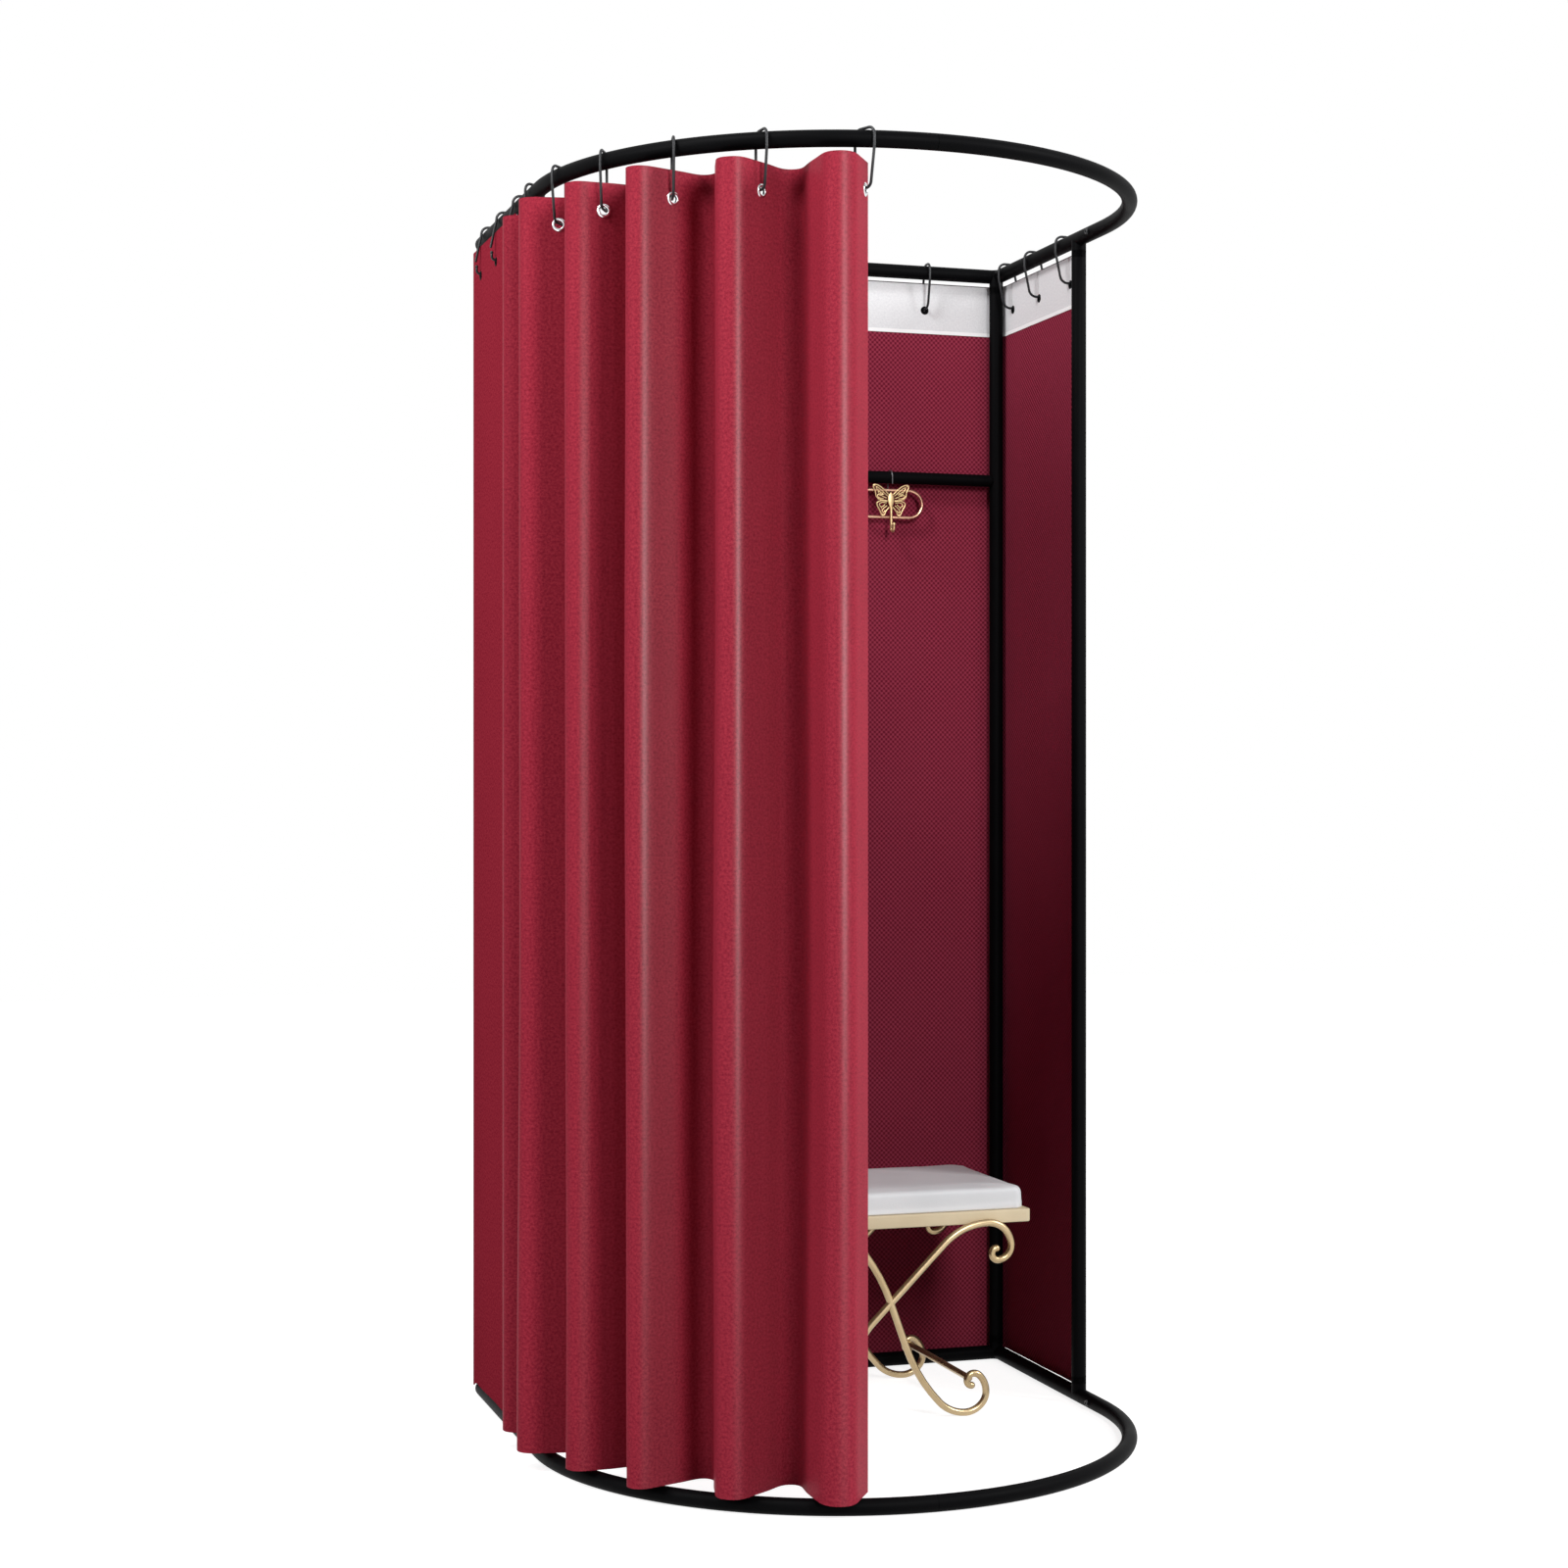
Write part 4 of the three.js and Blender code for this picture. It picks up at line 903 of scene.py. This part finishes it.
def pad(low, a, b, height):
    """A tight pad: each level is a rounded rectangle, its half sizes a and b drawn in by 0.4% between
    the corners; the top is z = height (1 - 0.10 r^5) with r the distance to the edge, 1 at the rim."""
    side = np.linspace(0, 1, 13)[1:-1]
    arcs = corner_arcs(a, b, 0.016, 9)[0]
    plan = []
    for k in range(4):
        p, q = arcs[k][-1], arcs[(k + 1) % 4][0]
        plan += [arcs[k], p + side[:, None] * (q - p)]
    plan = np.concatenate(plan)
    plan = plan * (1 - 0.004 * (1 - np.clip(np.abs(plan / [a, b]), 0, 1) ** 2)[:, ::-1])
    wall = np.array([0, 0.10, 0.3, 0.5, 0.7, 0.8, 0.86])
    swell = np.array([0.994, 0.998, 1.0, 1.0, 0.9975, 0.993, 0.985])
    rim = np.array([0.972, 0.95, 0.91, 0.85, 0.76, 0.64, 0.48, 0.3, 0.12, 0.02])
    share = np.append(swell, rim)
    z = low + height * np.append(wall, 1 - 0.10 * rim**5)
    return np.dstack([plan[None] * share[:, None, None], np.repeat(z[:, None], len(plan), axis=1)])


skin = pad(0.0, 0.2365, 0.1385, 0.0405) + np.array([STOOL_X, STOOL_Y, CUSHION_LOW])
cushion = piece("cushion", [shell(skin)], leather, "stool", ["stool_cushion"], sharp=180)


def stuffed(made, low):
    """Foam that presses out under the leather: the pad is cut into 5 mm squares and swells as cloth
    under pressure for 20 frames, tacked at its underside, and no point moves more than 2.5 mm."""
    voxels = made.modifiers.new("voxels", "REMESH")
    voxels.mode, voxels.voxel_size = "VOXEL", 0.005
    start = bpy.data.meshes.new_from_object(made.evaluated_get(bpy.context.evaluated_depsgraph_get()))
    made.modifiers.clear()
    made.data = start
    before = np.empty(len(start.vertices) * 3)
    start.vertices.foreach_get("co", before)
    before = before.reshape(-1, 3)
    tacks = made.vertex_groups.new(name="tacks")
    tacks.add(np.nonzero(before[:, 2] < low + 0.004)[0].tolist(), 1.0, "REPLACE")
    foam = made.modifiers.new("foam", "CLOTH")
    foam.settings.vertex_group_mass = "tacks"
    foam.settings.use_pressure = True
    foam.settings.uniform_pressure_force = 4
    foam.settings.effector_weights.gravity = 0
    foam.point_cache.frame_start, foam.point_cache.frame_end = 1, 20
    for step in range(1, 21):
        bpy.context.scene.frame_set(step)
    swollen = made.evaluated_get(bpy.context.evaluated_depsgraph_get()).to_mesh()
    after = np.empty(len(before) * 3)
    swollen.vertices.foreach_get("co", after)
    move = after.reshape(-1, 3) - before
    size = np.linalg.norm(move, axis=1, keepdims=True)
    move *= np.minimum(1, 0.0025 / np.maximum(size, 1e-9))
    made.modifiers.clear()
    made.vertex_groups.clear()
    start.vertices.foreach_set("co", (before + move).ravel())
    start.polygons.foreach_set("use_smooth", np.ones(len(start.polygons), bool))
    start.update()
    bpy.context.scene.frame_set(1)
    finer = made.modifiers.new("finer", "SUBSURF")
    finer.levels = finer.render_levels = 1


stuffed(cushion, CUSHION_LOW)

# Hanger hook: grey spring wire bent over the garment rail, with a short toe that holds the loop.
HANGER_X = 0.270
HANGER_WIRE = 0.0011
LOOP_WIRE = 0.003
LOOP_TOP = 1.5916
OVER_RAIL = 0.0124  # bend over the garment rail
FOOT = 0.0121
grey_wire = coated("grey_wire", (0.10, 0.10, 0.105, 1), (0.2, 0.2, 0.21, 1), 0.35, metallic=0.8)
crown = RAIL_Z + RAIL_R + 0.0006 + HANGER_WIRE - OVER_RAIL
toe = LOOP_TOP - 2 * LOOP_WIRE - 0.0007 - HANGER_WIRE
moves = [(OVER_RAIL, None), (-180, OVER_RAIL), (crown - toe - FOOT, None), (-90, FOOT), (0.0015, None)]
flat = route((-OVER_RAIL - CORNER_IN, crown - OVER_RAIL), 90, moves, 8)
points, radii = with_ends(in_space(flat, "side", HANGER_X), HANGER_WIRE)
piece(
    "hanger_wire", [shell(tube(points, (1, 0, 0), radii, 12))], grey_wire, "hanger_hook",
    ["hanger_hook"],
)

# Hanger loop: 6 mm wire bent into a long ring and plated rose gold.
rose = coated(
    "rose_gold", (0.52, 0.27, 0.17, 1), (0.72, 0.44, 0.32, 1), 0.26, grain=240.0, bump=0.05, metallic=0.85
)
LOOP_BEND = 0.0245
moves = [(0.0365, None), (180, LOOP_BEND), (0.074, None), (180, LOOP_BEND), (0.0365, None)]
flat = route((HANGER_X + 0.0005, 1.5396), 0, moves, 6)
points, radii = with_ends(in_space(flat, "front", -CORNER_IN), LOOP_WIRE)
points, radii = points[4:-4], radii[4:-4]  # the two ends butt, with one ring of each nose left
piece(
    "hanger_ring", [shell(tube(points, (0, 1, 0), radii, 18))], rose, "hanger_charm",
    ["hanger_loop"],
)

# Butterfly: a cast openwork charm on the front of the loop. Each wing is a rim of wire with scrolls
# inside, the body is a plump spindle, and a tail below it ends in a small hook with a ball.
pale_gold = coated(
    "pale_gold", (0.62, 0.42, 0.20, 1), (0.84, 0.64, 0.35, 1), 0.36, grain=240.0, bump=0.05, metallic=0.6
)


def smooth(points, count):
    """A round curve through points, evenly resampled: between points b and c it is a cubic that
    leaves b at half of c - a and comes to c at half of d - b."""
    p = np.array(points, float)
    ring = np.vstack([2 * p[0] - p[1], p, 2 * p[-1] - p[-2]])
    spans = len(ring) - 3
    at = np.linspace(0, spans, count * 3)
    k = np.minimum(at.astype(int), spans - 1)
    t = (at - k)[:, None]
    a, b, c, d = ring[k], ring[k + 1], ring[k + 2], ring[k + 3]
    curve = 0.5 * (2 * b + (c - a) * t + (2 * a - 5 * b + 4 * c - d) * t**2 + (3 * b - a - 3 * c + d) * t**3)
    s = np.append(0, np.cumsum(np.linalg.norm(np.diff(curve, axis=0), axis=1)))
    even = np.linspace(0, s[-1], count)
    return np.stack([np.interp(even, s, curve[:, j]) for j in (0, 1)], axis=1)


MM = 0.001
CHARM_Z = 1.570
CHARM_Y = -0.0046 - CORNER_IN
WING_WIRES = [  # points of the right wing in millimetres from the charm's middle, and the wire's radius
    ([(5, 11), (13, 19), (23, 26), (32, 28), (34, 24), (30, 15), (28, 6), (20, 1), (8, -1)], 1.3),
    ([(8, -2), (18, -1), (26, -4), (27, -9), (22, -18), (17, -28), (13, -27), (10, -20), (4, -13)], 1.3),
    ([(7, 8), (13, 13), (21, 20), (28, 24), (26, 18), (20, 14), (14, 10)], 1.0),
    ([(9, 4), (16, 7), (23, 11), (26, 7), (22, 4), (15, 3)], 1.0),
    ([(16, 13), (18, 9), (21, 8), (22, 11), (19, 12)], 0.9),
    ([(9, -5), (16, -4), (22, -7), (20, -12), (15, -11), (12, -8)], 1.0),
    ([(8, -10), (13, -14), (17, -19), (15, -23), (12, -19)], 1.0),
]
BALLS = [(31.5, 27, 2.6), (15.3, -27, 2.2), (24.5, 2, 1.6), (24, 14.5, 1.5), (18, -14, 1.4)]
shells = []
for mirror in (1, -1):
    for points, thick in WING_WIRES:
        flat = smooth(points, 40) * MM * np.array([mirror, 1]) + np.array([HANGER_X, CHARM_Z])
        line, radii = with_ends(in_space(flat, "front", CHARM_Y), thick * MM)
        shells.append(shell(tube(line, (0, 1, 0), radii, 10)))
    for x, z, r in BALLS:
        t = np.radians(np.linspace(-84, 84, 9))
        ball = turned(np.stack([np.cos(t), np.sin(t)], axis=1) * r * MM, 14) * np.array([1, 0.45, 1])
        shells.append(shell(ball + np.array([HANGER_X + mirror * x * MM, CHARM_Y, CHARM_Z + z * MM])))
piece("butterfly_wings", shells, pale_gold, "hanger_charm", ["hanger_butterfly"], sharp=60)

h = np.linspace(0, 1, 25)
plump = np.sin(np.pi * np.clip(h * 1.02, 0, 1)) ** 0.8
width = 0.0002 + 0.0078 * plump * (1 - 0.55 * (1 - h)) + 0.001 * h * (1 - h)
profile = np.stack([width, -0.016 + 0.031 * h], axis=1)
spindle = turned(profile, 24) * np.array([1, 0.22, 1]) + np.array([HANGER_X, CHARM_Y - 0.0002, CHARM_Z])
tail = route((-0.0058 - CORNER_IN, 1.556), -90, [(0.036, None), (-180, 0.007), (0.003, None)], 9)
line, radii = with_ends(in_space(tail, "side", HANGER_X), 0.0023, end=0.0034)
piece(
    "butterfly_body", [shell(spindle), shell(tube(line, (1, 0, 0), radii, 12))], pale_gold,
    "hanger_charm", sharp=60,
)
